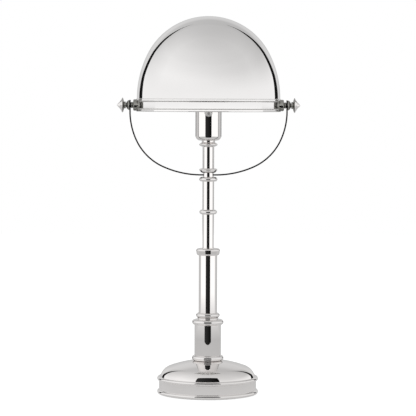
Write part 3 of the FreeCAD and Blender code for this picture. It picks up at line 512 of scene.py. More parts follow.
NICKEL = polished("polished nickel", (0.875, 0.855, 0.845), (0.85, 0.825, 0.81), 0.012, 0.025, 0.02)
# Darkened copy of the polished nickel: painted shade, standing in for the dark surroundings that the small
# pivot pieces mirror.
NICKEL_PAINTED_SHADE = polished("nickel, painted shade", (0.36, 0.355, 0.335), (0.24, 0.24, 0.22), 0.08, 0.14, 0.15)
# Rougher, darker nickel. On the shade band's rounds and coves its darker colour is painted shade.
NICKEL_SATIN = polished("nickel, satin", (0.74, 0.73, 0.715), (0.66, 0.65, 0.635), 0.40, 0.48, 0.10)
SHADE_NICKEL = polished("nickel, spun", (0.872, 0.86, 0.855), (0.85, 0.838, 0.83), 0.02, 0.035, 0.015, 1500.0)
# Near-black nickel: a painted reflection, standing in for the dark card that the strip's polished edges mirror.
YOKE_PAINTED_DARK = polished("yoke nickel, painted reflection", (0.045, 0.044, 0.042), (0.032, 0.031, 0.03), 0.05, 0.09, 0.06)
STEEL = polished("zinc steel", (0.58, 0.58, 0.57), (0.46, 0.46, 0.45), 0.28, 0.42, 0.3)
BRASS = polished("bare brass", (0.78, 0.60, 0.30), (0.62, 0.44, 0.20), 0.16, 0.3, 0.3)
CAP_METAL = polished("bulb cap metal", (0.74, 0.74, 0.73), (0.64, 0.64, 0.63), 0.2, 0.32, 0.3)
LACQUER = grained("white lacquer", (0.86, 0.855, 0.84), (0.90, 0.895, 0.885), 0.30, 0.42, 700.0, 0.15, 0.0001)
IRON = grained("cast iron", (0.06, 0.055, 0.05), (0.13, 0.12, 0.11), 0.7, 0.9, 500.0, 0.6, 0.0006)
FELT = grained("green felt", (0.020, 0.045, 0.030), (0.040, 0.075, 0.052), 0.9, 1.0, 2200.0, 0.9, 0.0005)
BLACK_PLASTIC = grained("black plastic", (0.018, 0.018, 0.018), (0.03, 0.03, 0.03), 0.42, 0.55, 1500.0, 0.25,
                        0.0002)
RESIN = grained("socket resin", (0.045, 0.032, 0.026), (0.07, 0.05, 0.04), 0.2, 0.32, 1200.0, 0.12, 0.0002,
                coat=0.3)
BLACK_GLASS = grained("black glass", (0.012, 0.012, 0.015), (0.02, 0.02, 0.024), 0.08, 0.14, 600.0, 0.05,
                      0.0001)


def make_bulb_material():
    """White-coated glass: the powder inside scatters, the outside is smooth."""
    material, tree, shader, place = new_material("frosted glass")
    texture = use(tree, GRAIN, place, Fineness=1400.0)
    shade = mix_colour(tree, texture.outputs["Tone"], (0.90, 0.90, 0.885), (0.94, 0.94, 0.93))
    wire(tree, shade, shader.inputs["Base Color"])
    wire(tree, span_of(tree, texture.outputs["Tone"], 0, 1, 0.16, 0.24), shader.inputs["Roughness"])
    shader.inputs["Subsurface Weight"].default_value = 0.4
    shader.inputs["Subsurface Radius"].default_value = (0.006, 0.006, 0.0055)
    shader.inputs["Subsurface Scale"].default_value = 0.5
    shader.inputs["Coat Weight"].default_value = 0.6
    shader.inputs["Coat Roughness"].default_value = 0.05
    bumped(tree, shader, texture.outputs["Height"], 0.05, 0.0001)
    return material


FROSTED = make_bulb_material()


# ---------------------------------------------------------------- base
def make_base():
    low = (BASE_BEAD[0], BEAD_LOW_Z)
    high = (BASE_BEAD[0], BEAD_HIGH_Z)
    hip = math.degrees(math.acos((BASE_BAND_R - BASE_BEAD[0]) / BASE_BEAD[1]))
    # the upper bead meets the knuckle where the two circles cross
    apart = math.dist(high, KNUCKLE)
    reach = (apart ** 2 + BASE_BEAD[1] ** 2 - KNUCKLE_R ** 2) / (2 * apart)
    aside = math.sqrt(BASE_BEAD[1] ** 2 - reach ** 2)
    ux, uz = (KNUCKLE[0] - high[0]) / apart, (KNUCKLE[1] - high[1]) / apart
    join = (high[0] + ux * reach + uz * aside, high[1] + uz * reach - ux * aside)
    bead_end = math.degrees(math.atan2(join[1] - high[1], join[0] - high[0]))
    knuckle_start = math.degrees(math.atan2(join[1] - KNUCKLE[1], join[0] - KNUCKLE[0]))
    turn = math.degrees(math.atan2(KNUCKLE[1] - CROWN_Z, KNUCKLE[0]))
    seat = math.degrees(math.acos(LANDING_R / CROWN_R))
    inner = CROWN_R - BASE_WALL
    inner_seat = math.degrees(math.asin((LANDING_Z - BASE_WALL - CROWN_Z) / inner))
    points = [(BASE_DOME_R - BASE_WALL, RIM_Z)]
    points += arc(low, BASE_BEAD[1], -90, hip)
    points += arc(high, BASE_BEAD[1], -hip, bead_end)
    points += arc(KNUCKLE, KNUCKLE_R, knuckle_start, turn)
    points += arc((0, CROWN_Z), CROWN_R, turn, seat)
    points += [(PIPE_HOLE_R, LANDING_Z), (PIPE_HOLE_R, LANDING_Z - BASE_WALL)]
    points += arc((0, CROWN_Z), inner, inner_seat, turn)
    points += arc(KNUCKLE, KNUCKLE_R - BASE_WALL, turn, 0)
    turned("base_shell_spun", points, NICKEL, "root", "base_shell", 0.3)


def make_felt():
    """Round felt pad with a soft edge."""
    outer = BASE_DOME_R - BASE_WALL - 0.4 - FELT_EDGE_R
    points = [(0, 0)] + arc((outer, FELT_EDGE_R), FELT_EDGE_R, -90, 0)
    points += arc((outer, FELT_T - FELT_EDGE_R), FELT_EDGE_R, 0, 90) + [(0, FELT_T)]
    thing = turned("felt_pad_cut", points, FELT, "root", "felt_pad", 0.1)


def make_bushing():
    wall = BASE_BAND_R
    place = Matrix.Translation((0, 0, BUSH_Z * MM)) @ Matrix.Rotation(math.radians(-90), 4, "X")
    points = [(BUSH_BORE_R, BUSH_END_Y), (BUSH_R, BUSH_END_Y)]
    points += [(BUSH_R, wall - 0.6), (BUSH_FLANGE_R, wall - 0.6)]
    points += arc((BUSH_FLANGE_R - 0.9, wall + 0.9), 0.9, 0, 90)
    points += arc((BUSH_BORE_R + 0.6, wall + 1.2), 0.6, 90, 180)
    thing = turned("cord_bushing_moulded", points, BLACK_PLASTIC, "root", "cord_bushing", 0.15, SMALL_SEGMENTS,
                   place)


# ---------------------------------------------------------------- drum, column and stem
def tube_points(outer, inner, low, high):
    return [(inner, low), (outer, low), (outer, high), (inner, high)]


def make_column():
    spigot = DRUM_R - 1.5
    foot = [(5, LANDING_Z), *bead(LANDING_Z, DRUM_FOOT, DRUM_R), (spigot, DRUM_Z), (5, DRUM_Z)]
    turned("drum_foot_ring", foot, NICKEL, "root", "drum_foot")
    turned("drum_tube", tube_points(DRUM_R, spigot, DRUM_Z, DRUM_TOP_Z), NICKEL, "root", "drum", 0.2)
    cap = [(COLUMN_BORE_R, DRUM_TOP_Z), (DRUM_R, DRUM_TOP_Z)]
    cap += through((DRUM_R, DRUM_TOP_Z), (DRUM_R + 4.0, DRUM_TOP_Z + 4.3), (DRUM_R - 1, NECK_Z))
    cap += through((CAP_NECK_R + 1, NECK_Z), (CAP_NECK_R, (NECK_Z + COLLAR_Z) / 2), (CAP_NECK_R + 1, COLLAR_Z))
    turned("drum_cap_ring", cap + [(COLUMN_BORE_R, COLLAR_Z)], NICKEL, "root", "drum_cap", 0.4)
    collar = [(4, COLLAR_Z), *bead(COLLAR_Z, COLLAR, COLUMN_R), (4, COLUMN_Z)]
    turned("column_collar_ring", collar, NICKEL, "root", "column_collar")
    column = tube_points(COLUMN_R, COLUMN_BORE_R, COLUMN_Z, COLUMN_TOP_Z)
    turned("column_tube", column, NICKEL, "root", "column", 0.2)
    belly = COLUMN_R + 4.3
    cushion = [(4, COLUMN_TOP_Z)] + arc((belly - 3.7, COLUMN_TOP_Z + 3.0), 3.0, -90, 0)
    cushion += arc((belly - 3.4, LOWER_STEM_Z - 4.1), 3.4, 0, 85) + [(STEM_R, LOWER_STEM_Z), (4, LOWER_STEM_Z)]
    turned("column_cushion", cushion, NICKEL, "root", "column_cap", 0.3)
    lower_stem = tube_points(STEM_R, STEM_BORE_R, LOWER_STEM_Z, STEM_BEAD_Z)
    turned("lower_stem_tube", lower_stem, NICKEL, "root", "lower_stem", 0.2)
    ring = [(4, STEM_BEAD_Z), *bead(STEM_BEAD_Z, STEM_RING, STEM_R), (4, MIDDLE_STEM_Z)]
    turned("stem_ring_turned", ring, NICKEL, "root", "stem_ring")
    middle_stem = tube_points(STEM_R, STEM_BORE_R, MIDDLE_STEM_Z, HUB_BEAD_Z)
    turned("middle_stem_tube", middle_stem, NICKEL, "root", "middle_stem", 0.2)
    ring = [(STEM_BORE_R, HUB_BEAD_Z), *bead(HUB_BEAD_Z, HUB_RING, STEM_R), (STEM_BORE_R, HUB_NECK_Z)]
    turned("hub_ring_turned", ring, NICKEL, "root", "hub_ring")
    neck = tube_points(HUB_NECK_R, 4, HUB_NECK_Z, HUB_CROWN_Z)
    turned("yoke_hub_neck", neck, NICKEL, "root", "yoke_hub", 0.1)
    start, wide = (HUB_NECK_R + 1.5, HUB_CROWN_Z), (STEM_R + 5.25, HUB_CROWN_Z + 4.2)
    crown = [(STEM_BORE_R, HUB_CROWN_Z)] + bulged(start, wide, 0.56)
    crown += bulged(wide, (wide[0] - 2.0, UPPER_STEM_Z), 0.69)
    turned("hub_crown_turned", crown + [(STEM_BORE_R, UPPER_STEM_Z)], NICKEL, "root", "hub_crown_ring")
    upper_stem = tube_points(STEM_R, STEM_BORE_R, UPPER_STEM_Z, LENS_Z)
    turned("upper_stem_tube", upper_stem, NICKEL, "root", "upper_stem", 0.2)
    edge = (STEM_R + 5.4 - 2.2, LENS_Z + 3.7)
    lens = [(5, LENS_Z), (STEM_R, LENS_Z)] + arc(edge, 2.2, -60, 60)
    lens += [(CUP_NECK_R, CUP_NECK_Z), (CUP_NECK_R, CUP_Z), (5, CUP_Z)]
    turned("cup_collar_turned", lens, NICKEL, "root", "cup_collar")


# ---------------------------------------------------------------- socket cup, bulb and switch
def make_cup():
    corner = (CUP_R - CUP_CORNER_R, CUP_Z + CUP_CORNER_R)
    inner = CUP_R - CUP_WALL
    lip_z = CUP_TOP_Z - CUP_LIP_R
    points = [(PIPE_HOLE_R, CUP_Z)] + arc(corner, CUP_CORNER_R, -90, 0)
    points += arc((CUP_R, lip_z), CUP_LIP_R, -90, 90)
    points += [(inner, CUP_TOP_Z), (inner, corner[1])] + arc(corner, CUP_CORNER_R - CUP_WALL, 0, -90)
    points += [(PIPE_HOLE_R, CUP_Z + CUP_WALL)]
    turned("socket_cup_spun", points, NICKEL, "root", "socket_cup", 0.2)


def make_bulb():
    blend = math.radians(BULB_BLEND)
    neck = (BULB_R * math.cos(blend) - BULB_NECK_R) / (1 - math.cos(blend))
    globe = (0, BULB_CAP_TOP_Z + (neck + BULB_R) * math.sin(blend))
    hollow = (BULB_NECK_R + neck, BULB_CAP_TOP_Z)
    outside = arc(hollow, neck, 180, 180 - BULB_BLEND) + arc(globe, BULB_R, -BULB_BLEND, 90)
    inside = arc(globe, BULB_R - BULB_WALL, 90, -BULB_BLEND)
    inside += arc(hollow, neck + BULB_WALL, 180 - BULB_BLEND, 180)
    bottom = BULB_CAP_TOP_Z - 5.0
    points = [(BULB_NECK_R - BULB_WALL, bottom), (BULB_NECK_R, bottom)] + outside + inside
    glass = turned("bulb_glass_blown", points, FROSTED, "root", "bulb_glass", 0.1, 128)


def make_knob():
    """Domed knob. Its flutes are set round it by a node tree."""
    side_end = KNOB_LEN - KNOB_CROWN
    crown_r = (KNOB_R ** 2 + KNOB_CROWN ** 2) / (2 * KNOB_CROWN)
    crown = (0, KNOB_LEN - crown_r)
    start = math.degrees(math.atan2(side_end - crown[1], KNOB_R))
    foot_r, foot_len = KNOB_STEP
    core, flute_end = KNOB_R - KNOB_GROOVE, side_end - KNOB_SHOULDER
    points = [(0, 0), (foot_r, 0), (foot_r, foot_len), (core, foot_len), (core, flute_end), (KNOB_R, side_end)]
    points += arc(crown, crown_r, start, 90)
    bm = bmesh.new()
    place = facing_front(KNOB_FOOT_Y, KNOB_Z)
    spin(bm, softened(points, 0.25, True), SMALL_SEGMENTS, place)
    body = finish_mesh("switch_knob_turned", bm, [NICKEL_SATIN])
    dressed(body, "switch", "switch_knob")
    length = side_end - foot_len - KNOB_SHOULDER
    ribs = ring_of_ribs("switch_knob_ribs", KNOB_FLUTES, core - 0.25, 0.75, length, place, foot_len)
    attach(ribs, "switch")


# ---------------------------------------------------------------- repeated pieces, made by node trees
def make_rib_tree():
    """Upright round ribs, evenly spaced on a circle about Z."""
    tree = bpy.data.node_groups.new("ribs on a ring", "GeometryNodeTree")
    tree.interface.new_socket("Geometry", in_out="INPUT", socket_type="NodeSocketGeometry")
    for label, kind in (("Count", "NodeSocketInt"), ("Ring radius", "NodeSocketFloat"),
                        ("Rib radius", "NodeSocketFloat"), ("Length", "NodeSocketFloat"),
                        ("Start height", "NodeSocketFloat"), ("Finish", "NodeSocketMaterial")):
        tree.interface.new_socket(label, in_out="INPUT", socket_type=kind)
    tree.interface.new_socket("Geometry", in_out="OUTPUT", socket_type="NodeSocketGeometry")
    inside = add(tree, "NodeGroupInput")
    outside = add(tree, "NodeGroupOutput")
    ring = add(tree, "GeometryNodeMeshCircle")
    wire(tree, inside.outputs["Count"], ring.inputs["Vertices"])
    wire(tree, inside.outputs["Ring radius"], ring.inputs["Radius"])
    rib = add(tree, "GeometryNodeMeshCylinder")
    rib.inputs["Vertices"].default_value = 16
    wire(tree, inside.outputs["Rib radius"], rib.inputs["Radius"])
    wire(tree, inside.outputs["Length"], rib.inputs["Depth"])
    rise = add(tree, "ShaderNodeCombineXYZ")
    middle = sum_of(tree, "MULTIPLY_ADD", inside.outputs["Length"], 0.5, inside.outputs["Start height"])
    wire(tree, middle, rise.inputs["Z"])
    lifted = add(tree, "GeometryNodeSetPosition")
    wire(tree, ring.outputs["Mesh"], lifted.inputs["Geometry"])
    wire(tree, rise.outputs[0], lifted.inputs["Offset"])
    copies = add(tree, "GeometryNodeInstanceOnPoints")
    wire(tree, lifted.outputs["Geometry"], copies.inputs["Points"])
    wire(tree, rib.outputs["Mesh"], copies.inputs["Instance"])
    real = add(tree, "GeometryNodeRealizeInstances")
    wire(tree, copies.outputs["Instances"], real.inputs["Geometry"])
    smooth = add(tree, "GeometryNodeSetShadeSmooth")
    wire(tree, real.outputs["Geometry"], smooth.inputs["Geometry"])
    coloured = add(tree, "GeometryNodeSetMaterial")
    wire(tree, smooth.outputs["Geometry"], coloured.inputs["Geometry"])
    wire(tree, inside.outputs["Finish"], coloured.inputs["Material"])
    wire(tree, coloured.outputs["Geometry"], outside.inputs["Geometry"])
    return tree


RIB_TREE = make_rib_tree()


def from_tree(name, tree, values, place):
    """Run a node tree once, and keep what it makes as a plain mesh in its place."""
    holder = bpy.data.objects.new(name + "_maker", bpy.data.meshes.new(name + "_maker"))
    bpy.context.scene.collection.objects.link(holder)
    modifier = holder.modifiers.new("maker", "NODES")
    modifier.node_group = tree
    for item in tree.interface.items_tree:
        if item.item_type == "SOCKET" and item.in_out == "INPUT" and item.name in values:
            modifier[item.identifier] = values[item.name]
    graph = bpy.context.evaluated_depsgraph_get()
    mesh = bpy.data.meshes.new_from_object(holder.evaluated_get(graph))
    bpy.data.objects.remove(holder)
    mesh.name = name
    mesh.transform(place)
    thing = bpy.data.objects.new(name, mesh)
    bpy.context.scene.collection.objects.link(thing)
    return thing


def ring_of_ribs(name, count, ring_r, rib_r, length, place, start):
    values = {"Count": count, "Ring radius": ring_r * MM, "Rib radius": rib_r * MM, "Length": length * MM,
              "Start height": start * MM, "Finish": NICKEL}
    return from_tree(name, RIB_TREE, values, place)


# ---------------------------------------------------------------- yoke
def yoke_line():
    """Points and slopes of the strip's centre line, from the middle to the top of the right eye."""
    floor_r, floor_end = YOKE_FLOOR
    corner_r, corner_end = YOKE_CORNER
    f, c = math.radians(floor_end), math.radians(corner_end)
    rise = YOKE_RISE - YOKE_END_FLAT - floor_r * (1 - math.cos(f)) - corner_r * (math.cos(f) - math.cos(c))
    side_r = rise / math.cos(c)
    reach = floor_r * math.sin(f) + corner_r * (math.sin(c) - math.sin(f)) + side_r * (1 - math.sin(c))
    flat = EYE_X + YOKE_T / 2 - reach
    line = [((x, YOKE_Z), 0.0) for x in (0.0, flat / 2)]
    here = (flat, YOKE_Z)
    bends = ((floor_r, 0, floor_end), (corner_r, floor_end, corner_end), (side_r, corner_end, 90))
    for radius, begin, end in bends:
        lean = math.radians(begin)
        centre = (here[0] - radius * math.sin(lean), here[1] + radius * math.cos(lean))
        count = math.ceil((end - begin) / 1.5)
        for i in range(count):
            slope = begin + (end - begin) * i / count
            line.append((on_arc(centre, radius, slope - 90), slope))
        here = on_arc(centre, radius, end - 90)
    line.append((here, 90.0))
    return line


def make_yoke():
    """Flat bent strip whose ends widen into round eyes. Points beside its rounded edges keep the flats flat."""
    half_t, half_d, edge = YOKE_T / 2, YOKE_DEPTH / 2, 0.12
    stations = [(point, slope, half_d) for point, slope in yoke_line()]
    x = EYE_X + half_t
    first = math.asin(half_d / EYE_R)
    for i in range(25):
        angle = first + (math.pi - first) * i / 24
        z = PIVOT_Z - EYE_R * math.cos(angle)
        stations.append(((x, z), 90.0, max(EYE_R * math.sin(angle), edge + 0.15)))
    mirrored = [((-p[0], p[1]), -s, w) for p, s, w in reversed(stations[1:])]
    bm = bmesh.new()
    rings = []
    for (px, pz), slope, width in mirrored + stations:
        angle = math.radians(slope)
        up = Vector((-math.sin(angle), 0, math.cos(angle)))
        ring = []
        for sy, su, turn in ((1, 1, 0), (-1, 1, 90), (-1, -1, 180), (1, -1, 270)):
            for step, back in ((0, 0.1), (0, 0), (45, 0), (90, 0), (90, 0.1)):
                a = math.radians(turn + step)
                y = sy * (width - edge) + edge * math.cos(a)
                u = su * (half_t - edge) + edge * math.sin(a)
                if back:
                    y -= sy * back if abs(math.sin(a)) > 0.5 else 0
                    u -= su * back if abs(math.cos(a)) > 0.5 else 0
                ring.append(bm.verts.new((Vector((px, 0, pz)) + Vector((0, y, 0)) + up * u) * MM))
        rings.append(ring)
    for ring, other in zip(rings, rings[1:]):
        for k in range(len(ring)):
            n = (k + 1) % len(ring)
            bm.faces.new((ring[k], ring[n], other[n], other[k]))
    bm.faces.new(rings[0])
    bm.faces.new(rings[-1])
    dressed(finish_mesh("yoke_strip", bm, [YOKE_PAINTED_DARK]), "root", "yoke")


# ---------------------------------------------------------------- pivots
def boss_mesh(side):
    """Round boss, its inner end following the band."""
    start = BAND_R + 0.2
    corner = (BOSS_R - BOSS_EDGE_R, BOSS_X - BOSS_EDGE_R)
    points = [(BORE_R, start), (BOSS_R, start)] + arc(corner, BOSS_EDGE_R, 0, 90) + [(BORE_R, BOSS_X)]
    bm = bmesh.new()
    spin(bm, softened(points, 0.1, True), SMALL_SEGMENTS, on_tilt_axis(0, side))
    inner_end = (BAND_R + BOSS_LEN * 0.45) * MM
    for vertex in bm.verts:
        x = abs(vertex.co.x)
        if x < inner_end:
            drop = BAND_R - math.sqrt(BAND_R ** 2 - (vertex.co.y / MM) ** 2)
            vertex.co.x -= side * (drop + 0.5) * MM
    return finish_mesh("pivot_boss_turned", bm, [NICKEL_PAINTED_SHADE])


def finial_points():
    """Screw, round nut, disc with a rounded rim, and a dished face that ends in a point."""
    hub, back, rim, skirt, cone, tip = 0.9, 3.6, 5.5, 6.8, 9.9, 15.5
    nut_r, cone_r, tip_r, edge = 5.3, 6.1, 0.7, FINIAL_R - 0.35
    points = [(0, SHANK_END), (SHANK_R - 0.5, SHANK_END), (SHANK_R, SHANK_END + 0.5), (SHANK_R, 0)]
    points += [(3.3, 0), (3.3, hub)]
    points += bulged((nut_r, hub), (nut_r, back), 0.4)
    points += bulged((nut_r, back), (edge, rim), 0.26)
    points += bulged((edge, rim), (edge, skirt), 0.35)
    points += bulged((edge, skirt), (6.5, cone), -0.15)
    drop = tip_r + cone - tip
    touch = math.degrees(math.atan2(drop, cone_r) + math.acos(tip_r / math.hypot(cone_r, drop)))
    return points + [(cone_r, cone)] + arc((0, tip - tip_r), tip_r, touch, 90)


def make_pivots():
    # Bosses, spacers, bell washers and the back of each finial take the darkened nickel, which is painted
    # shade.
    for word, side in (("left", -1), ("right", 1)):
        boss = boss_mesh(side)
        boss.name = boss.data.name = "pivot_boss_turned_" + word
        dressed(boss, "shade", "pivot_boss_" + word)
        spacer = through((SPACER_R[0], 0), (SPACER_R[1], SPACER_LEN / 2), (SPACER_R[0], SPACER_LEN))
        spacer = [(BORE_R, 0)] + spacer + [(BORE_R, SPACER_LEN)]
        turned("pivot_spacer_turned_" + word, spacer, NICKEL_PAINTED_SHADE, "shade", "pivot_spacer_" + word, 0.1,
               SMALL_SEGMENTS, on_tilt_axis(BOSS_X, side))
        bell = [(BORE_R, 0), (BELL_R, 0)] + bulged((BELL_R, 0.9), (BELL_R / 2, BELL_LEN), 0.65)
        bell += [(BORE_R, BELL_LEN)]
        turned("bell_washer_turned_" + word, bell, NICKEL_PAINTED_SHADE, "root", "bell_washer_" + word, 0.2,
               SMALL_SEGMENTS, on_tilt_axis(BELL_X, side))
        turned("finial_screw_turned_" + word, finial_points(), [NICKEL, NICKEL_PAINTED_SHADE], "finial_" + word,
               "finial_screw_" + word, 0.15, SMALL_SEGMENTS, on_tilt_axis(FINIAL_X, side),
               lambda a, b: 1 if max(a[1], b[1]) < FINIAL_PAINTED_SHADE else 0)


# ---------------------------------------------------------------- shade
def make_shade():
    soft = LIP_R - LIP_ROUND
    low_lip, high_lip = BAND_LOW_Z + LIP_H, BAND_TOP_Z - LIP_H
    foot = BAND_R + COVE_R
    inner = BAND_R - BAND_WALL
    upstand = DOME_R - DOME_WALL - 0.1
    points = [(inner, BAND_LOW_Z)]
    points += arc((soft, BAND_LOW_Z + LIP_ROUND), LIP_ROUND, -90, 0)
    points += arc((soft, low_lip - LIP_ROUND), LIP_ROUND, 0, 90)
    points += arc((foot, low_lip + COVE_R), COVE_R, 270, 180)
    points += arc((foot, high_lip - COVE_R), COVE_R, 180, 90)
    points += arc((soft, high_lip + LIP_ROUND), LIP_ROUND, -90, 0)
    points += arc((soft, BAND_TOP_Z - LIP_ROUND), LIP_ROUND, 0, 90)
    points += [(upstand, BAND_TOP_Z), (upstand, BAND_TOP_Z + 3.0), (inner, BAND_TOP_Z + 3.0)]

    def band_finish(a, b):
        """Lacquer inside, mirror on the straight faces, satin on the rounds and coves; the satin's darker
        colour there is painted shade.
        """
        if max(a[0], b[0]) < inner + 0.3 or min(a[1], b[1]) > BAND_TOP_Z + 0.5:
            return 1
        if abs(a[0] - b[0]) < 0.01:
            return 0
        return 2

    finishes = [SHADE_NICKEL, LACQUER, NICKEL_SATIN]
    band = turned("shade_band_turned", points, finishes, "shade", "shade_band", 0.2, BAND_SEGMENTS,
                  index=band_finish)

    side_centre, side_r = (-DOME_SIDE_PAST, BAND_TOP_Z), DOME_R + DOME_SIDE_PAST
    turn = math.radians(DOME_TURN)
    between = DOME_SIDE_PAST / math.cos(turn)
    crown_centre, crown_r = (0, BAND_TOP_Z + between * math.sin(turn)), side_r - between
    outside = arc(side_centre, side_r, 0, DOME_TURN) + arc(crown_centre, crown_r, DOME_TURN, 90)
    inside = arc(crown_centre, crown_r - DOME_WALL, 90, DOME_TURN)
    inside += arc(side_centre, side_r - DOME_WALL, DOME_TURN, 0)
    whole = outside + inside
    outer_points = set(outside)

    def dome_finish(a, b):
        """Mirror outside, lacquer inside."""
        return 0 if a in outer_points and b in outer_points else 1

    bm = bmesh.new()
    spin(bm, whole, DOME_SEGMENTS, Matrix.Identity(4), dome_finish)
    dome = finish_mesh("shade_dome_spun", bm, [SHADE_NICKEL, LACQUER])
    dressed(dome, "shade", "shade_dome")


make_base()
make_felt()
make_bushing()
make_column()
make_cup()
make_bulb()
make_knob()
make_yoke()
make_pivots()
make_shade()

# ---------------------------------------------------------------- CAD nodes that stay
for node, material in {
    "base_weight": IRON, "lock_washer": STEEL, "lock_nut": STEEL, "base_pipe": STEEL, "cup_pipe": STEEL,
    "hub_grub_screw": STEEL, "switch_shaft": STEEL, "switch_collar": NICKEL, "socket_body": RESIN,
    "screw_shell": BRASS, "centre_contact": BRASS, "bulb_tip": CAP_METAL, "bulb_insulator": BLACK_GLASS,
    "bulb_cap": CAP_METAL, "pivot_nut_left": NICKEL, "pivot_nut_right": NICKEL,
}.items():
    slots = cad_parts[node].material_slots
    if not slots:
        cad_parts[node].data.materials.append(material)
    for slot in slots:
        slot.material = material


# ---------------------------------------------------------------- studio
def flat_stage(name, corners):
    mesh = bpy.data.meshes.new(name)
    mesh.from_pydata(corners, [], [(0, 1, 2, 3)])
    thing = bpy.data.objects.new(name, mesh)
    bpy.context.scene.collection.objects.link(thing)
    material = bpy.data.materials.new(name)
    material.use_nodes = True
    material.node_tree.nodes.clear()
    mesh.materials.append(material)
    return thing, material.node_tree


def levels(tree, value, stops):
    """Brightness that follows a value between -1 and 1 through (value, level) stops."""
    most = max(level for where, level in stops)
    ramp = add(tree, "ShaderNodeValToRGB")
    elements = ramp.color_ramp.elements
    while len(elements) > 1:
        elements.remove(elements[-1])
    for number, (where, level) in enumerate(stops):
        element = elements[0] if number == 0 else elements.new((where + 1) / 2)
        element.position = (where + 1) / 2
        element.color = (level / most, level / most, level / most, 1)
    wire(tree, span_of(tree, value, -1, 1), ramp.inputs["Fac"])
    return sum_of(tree, "MULTIPLY", ramp.outputs["Color"], most)


def make_floor():
    """Pale floor that shows white to the camera, light grey near the lamp to polished metal, and keeps a
    soft shadow."""
    size = 4.0
    corners = [(-size, -size, 0), (size, -size, 0), (size, size, 0), (-size, size, 0)]
    tree = flat_stage("floor", corners)[1]
    out = add(tree, "ShaderNodeOutputMaterial")
    matt = add(tree, "ShaderNodeBsdfDiffuse")
    pale = add(tree, "ShaderNodeCombineColor")
    glow = add(tree, "ShaderNodeEmission")
    ray = add(tree, "ShaderNodeLightPath")
    place = add(tree, "ShaderNodeTexCoord").outputs["Object"]
    reach = add(tree, "ShaderNodeVectorMath")
    reach.operation = "LENGTH"
    wire(tree, place, reach.inputs[0])
    seen = sum_of(tree, "MULTIPLY", ray.outputs["Is Camera Ray"], 0.87)
    half = sum_of(tree, "MULTIPLY", reach.outputs["Value"], 0.5)
    glimmer = levels(tree, half, ((-1, 0.42), (0.06, 0.42), (0.15, 0.34), (0.40, 0.30), (0.90, 0.95)))
    axis = add(tree, "ShaderNodeSeparateXYZ")
    wire(tree, place, axis.inputs[0])
    turn = sum_of(tree, "DIVIDE", axis.outputs["Y"], sum_of(tree, "MAXIMUM", reach.outputs["Value"], 0.01))
    greyer = levels(tree, turn, ((-1, 0.95), (0.10, 0.95), (0.13, 0.42), (1, 0.30)))
    glimmer = sum_of(tree, "MINIMUM", glimmer, greyer)
    mirrored = sum_of(tree, "MULTIPLY", ray.outputs["Is Glossy Ray"], glimmer)
    wire(tree, sum_of(tree, "ADD", seen, mirrored), glow.inputs["Strength"])
    known = sum_of(tree, "MAXIMUM", ray.outputs["Is Camera Ray"], ray.outputs["Is Glossy Ray"])
    tone = span_of(tree, known, 0, 1, 0.8, 0.24)
    for channel in ("Red", "Green", "Blue"):
        wire(tree, tone, pale.inputs[channel])
    wire(tree, pale.outputs[0], matt.inputs["Color"])
    both = add(tree, "ShaderNodeAddShader")
    wire(tree, glow.outputs[0], both.inputs[0])
    wire(tree, matt.outputs[0], both.inputs[1])
    wire(tree, both.outputs[0], out.inputs["Surface"])


def make_black_card():
    """Matt black card before the lamp, seen only in the polish, for the dark stripe down the stem. Its left
    side catches a little light."""
    left, right, low, high, y = -0.198, 0.196, 0.0395, 0.452, -0.38
    card, tree = flat_stage("black_card", [(left, y, low), (right, y, low), (right, y, high), (left, y, high)])
    out = add(tree, "ShaderNodeOutputMaterial")
    glow = add(tree, "ShaderNodeEmission")
    axis = add(tree, "ShaderNodeSeparateXYZ")
    wire(tree, add(tree, "ShaderNodeTexCoord").outputs["Object"], axis.inputs[0])
    wire(tree, span_of(tree, axis.outputs["X"], left, right, 0.034, 0.001), glow.inputs["Strength"])
    wire(tree, glow.outputs[0], out.inputs["Surface"])
    card.visible_camera = False
    card.visible_diffuse = False
    card.visible_shadow = False
    card.visible_transmission = False


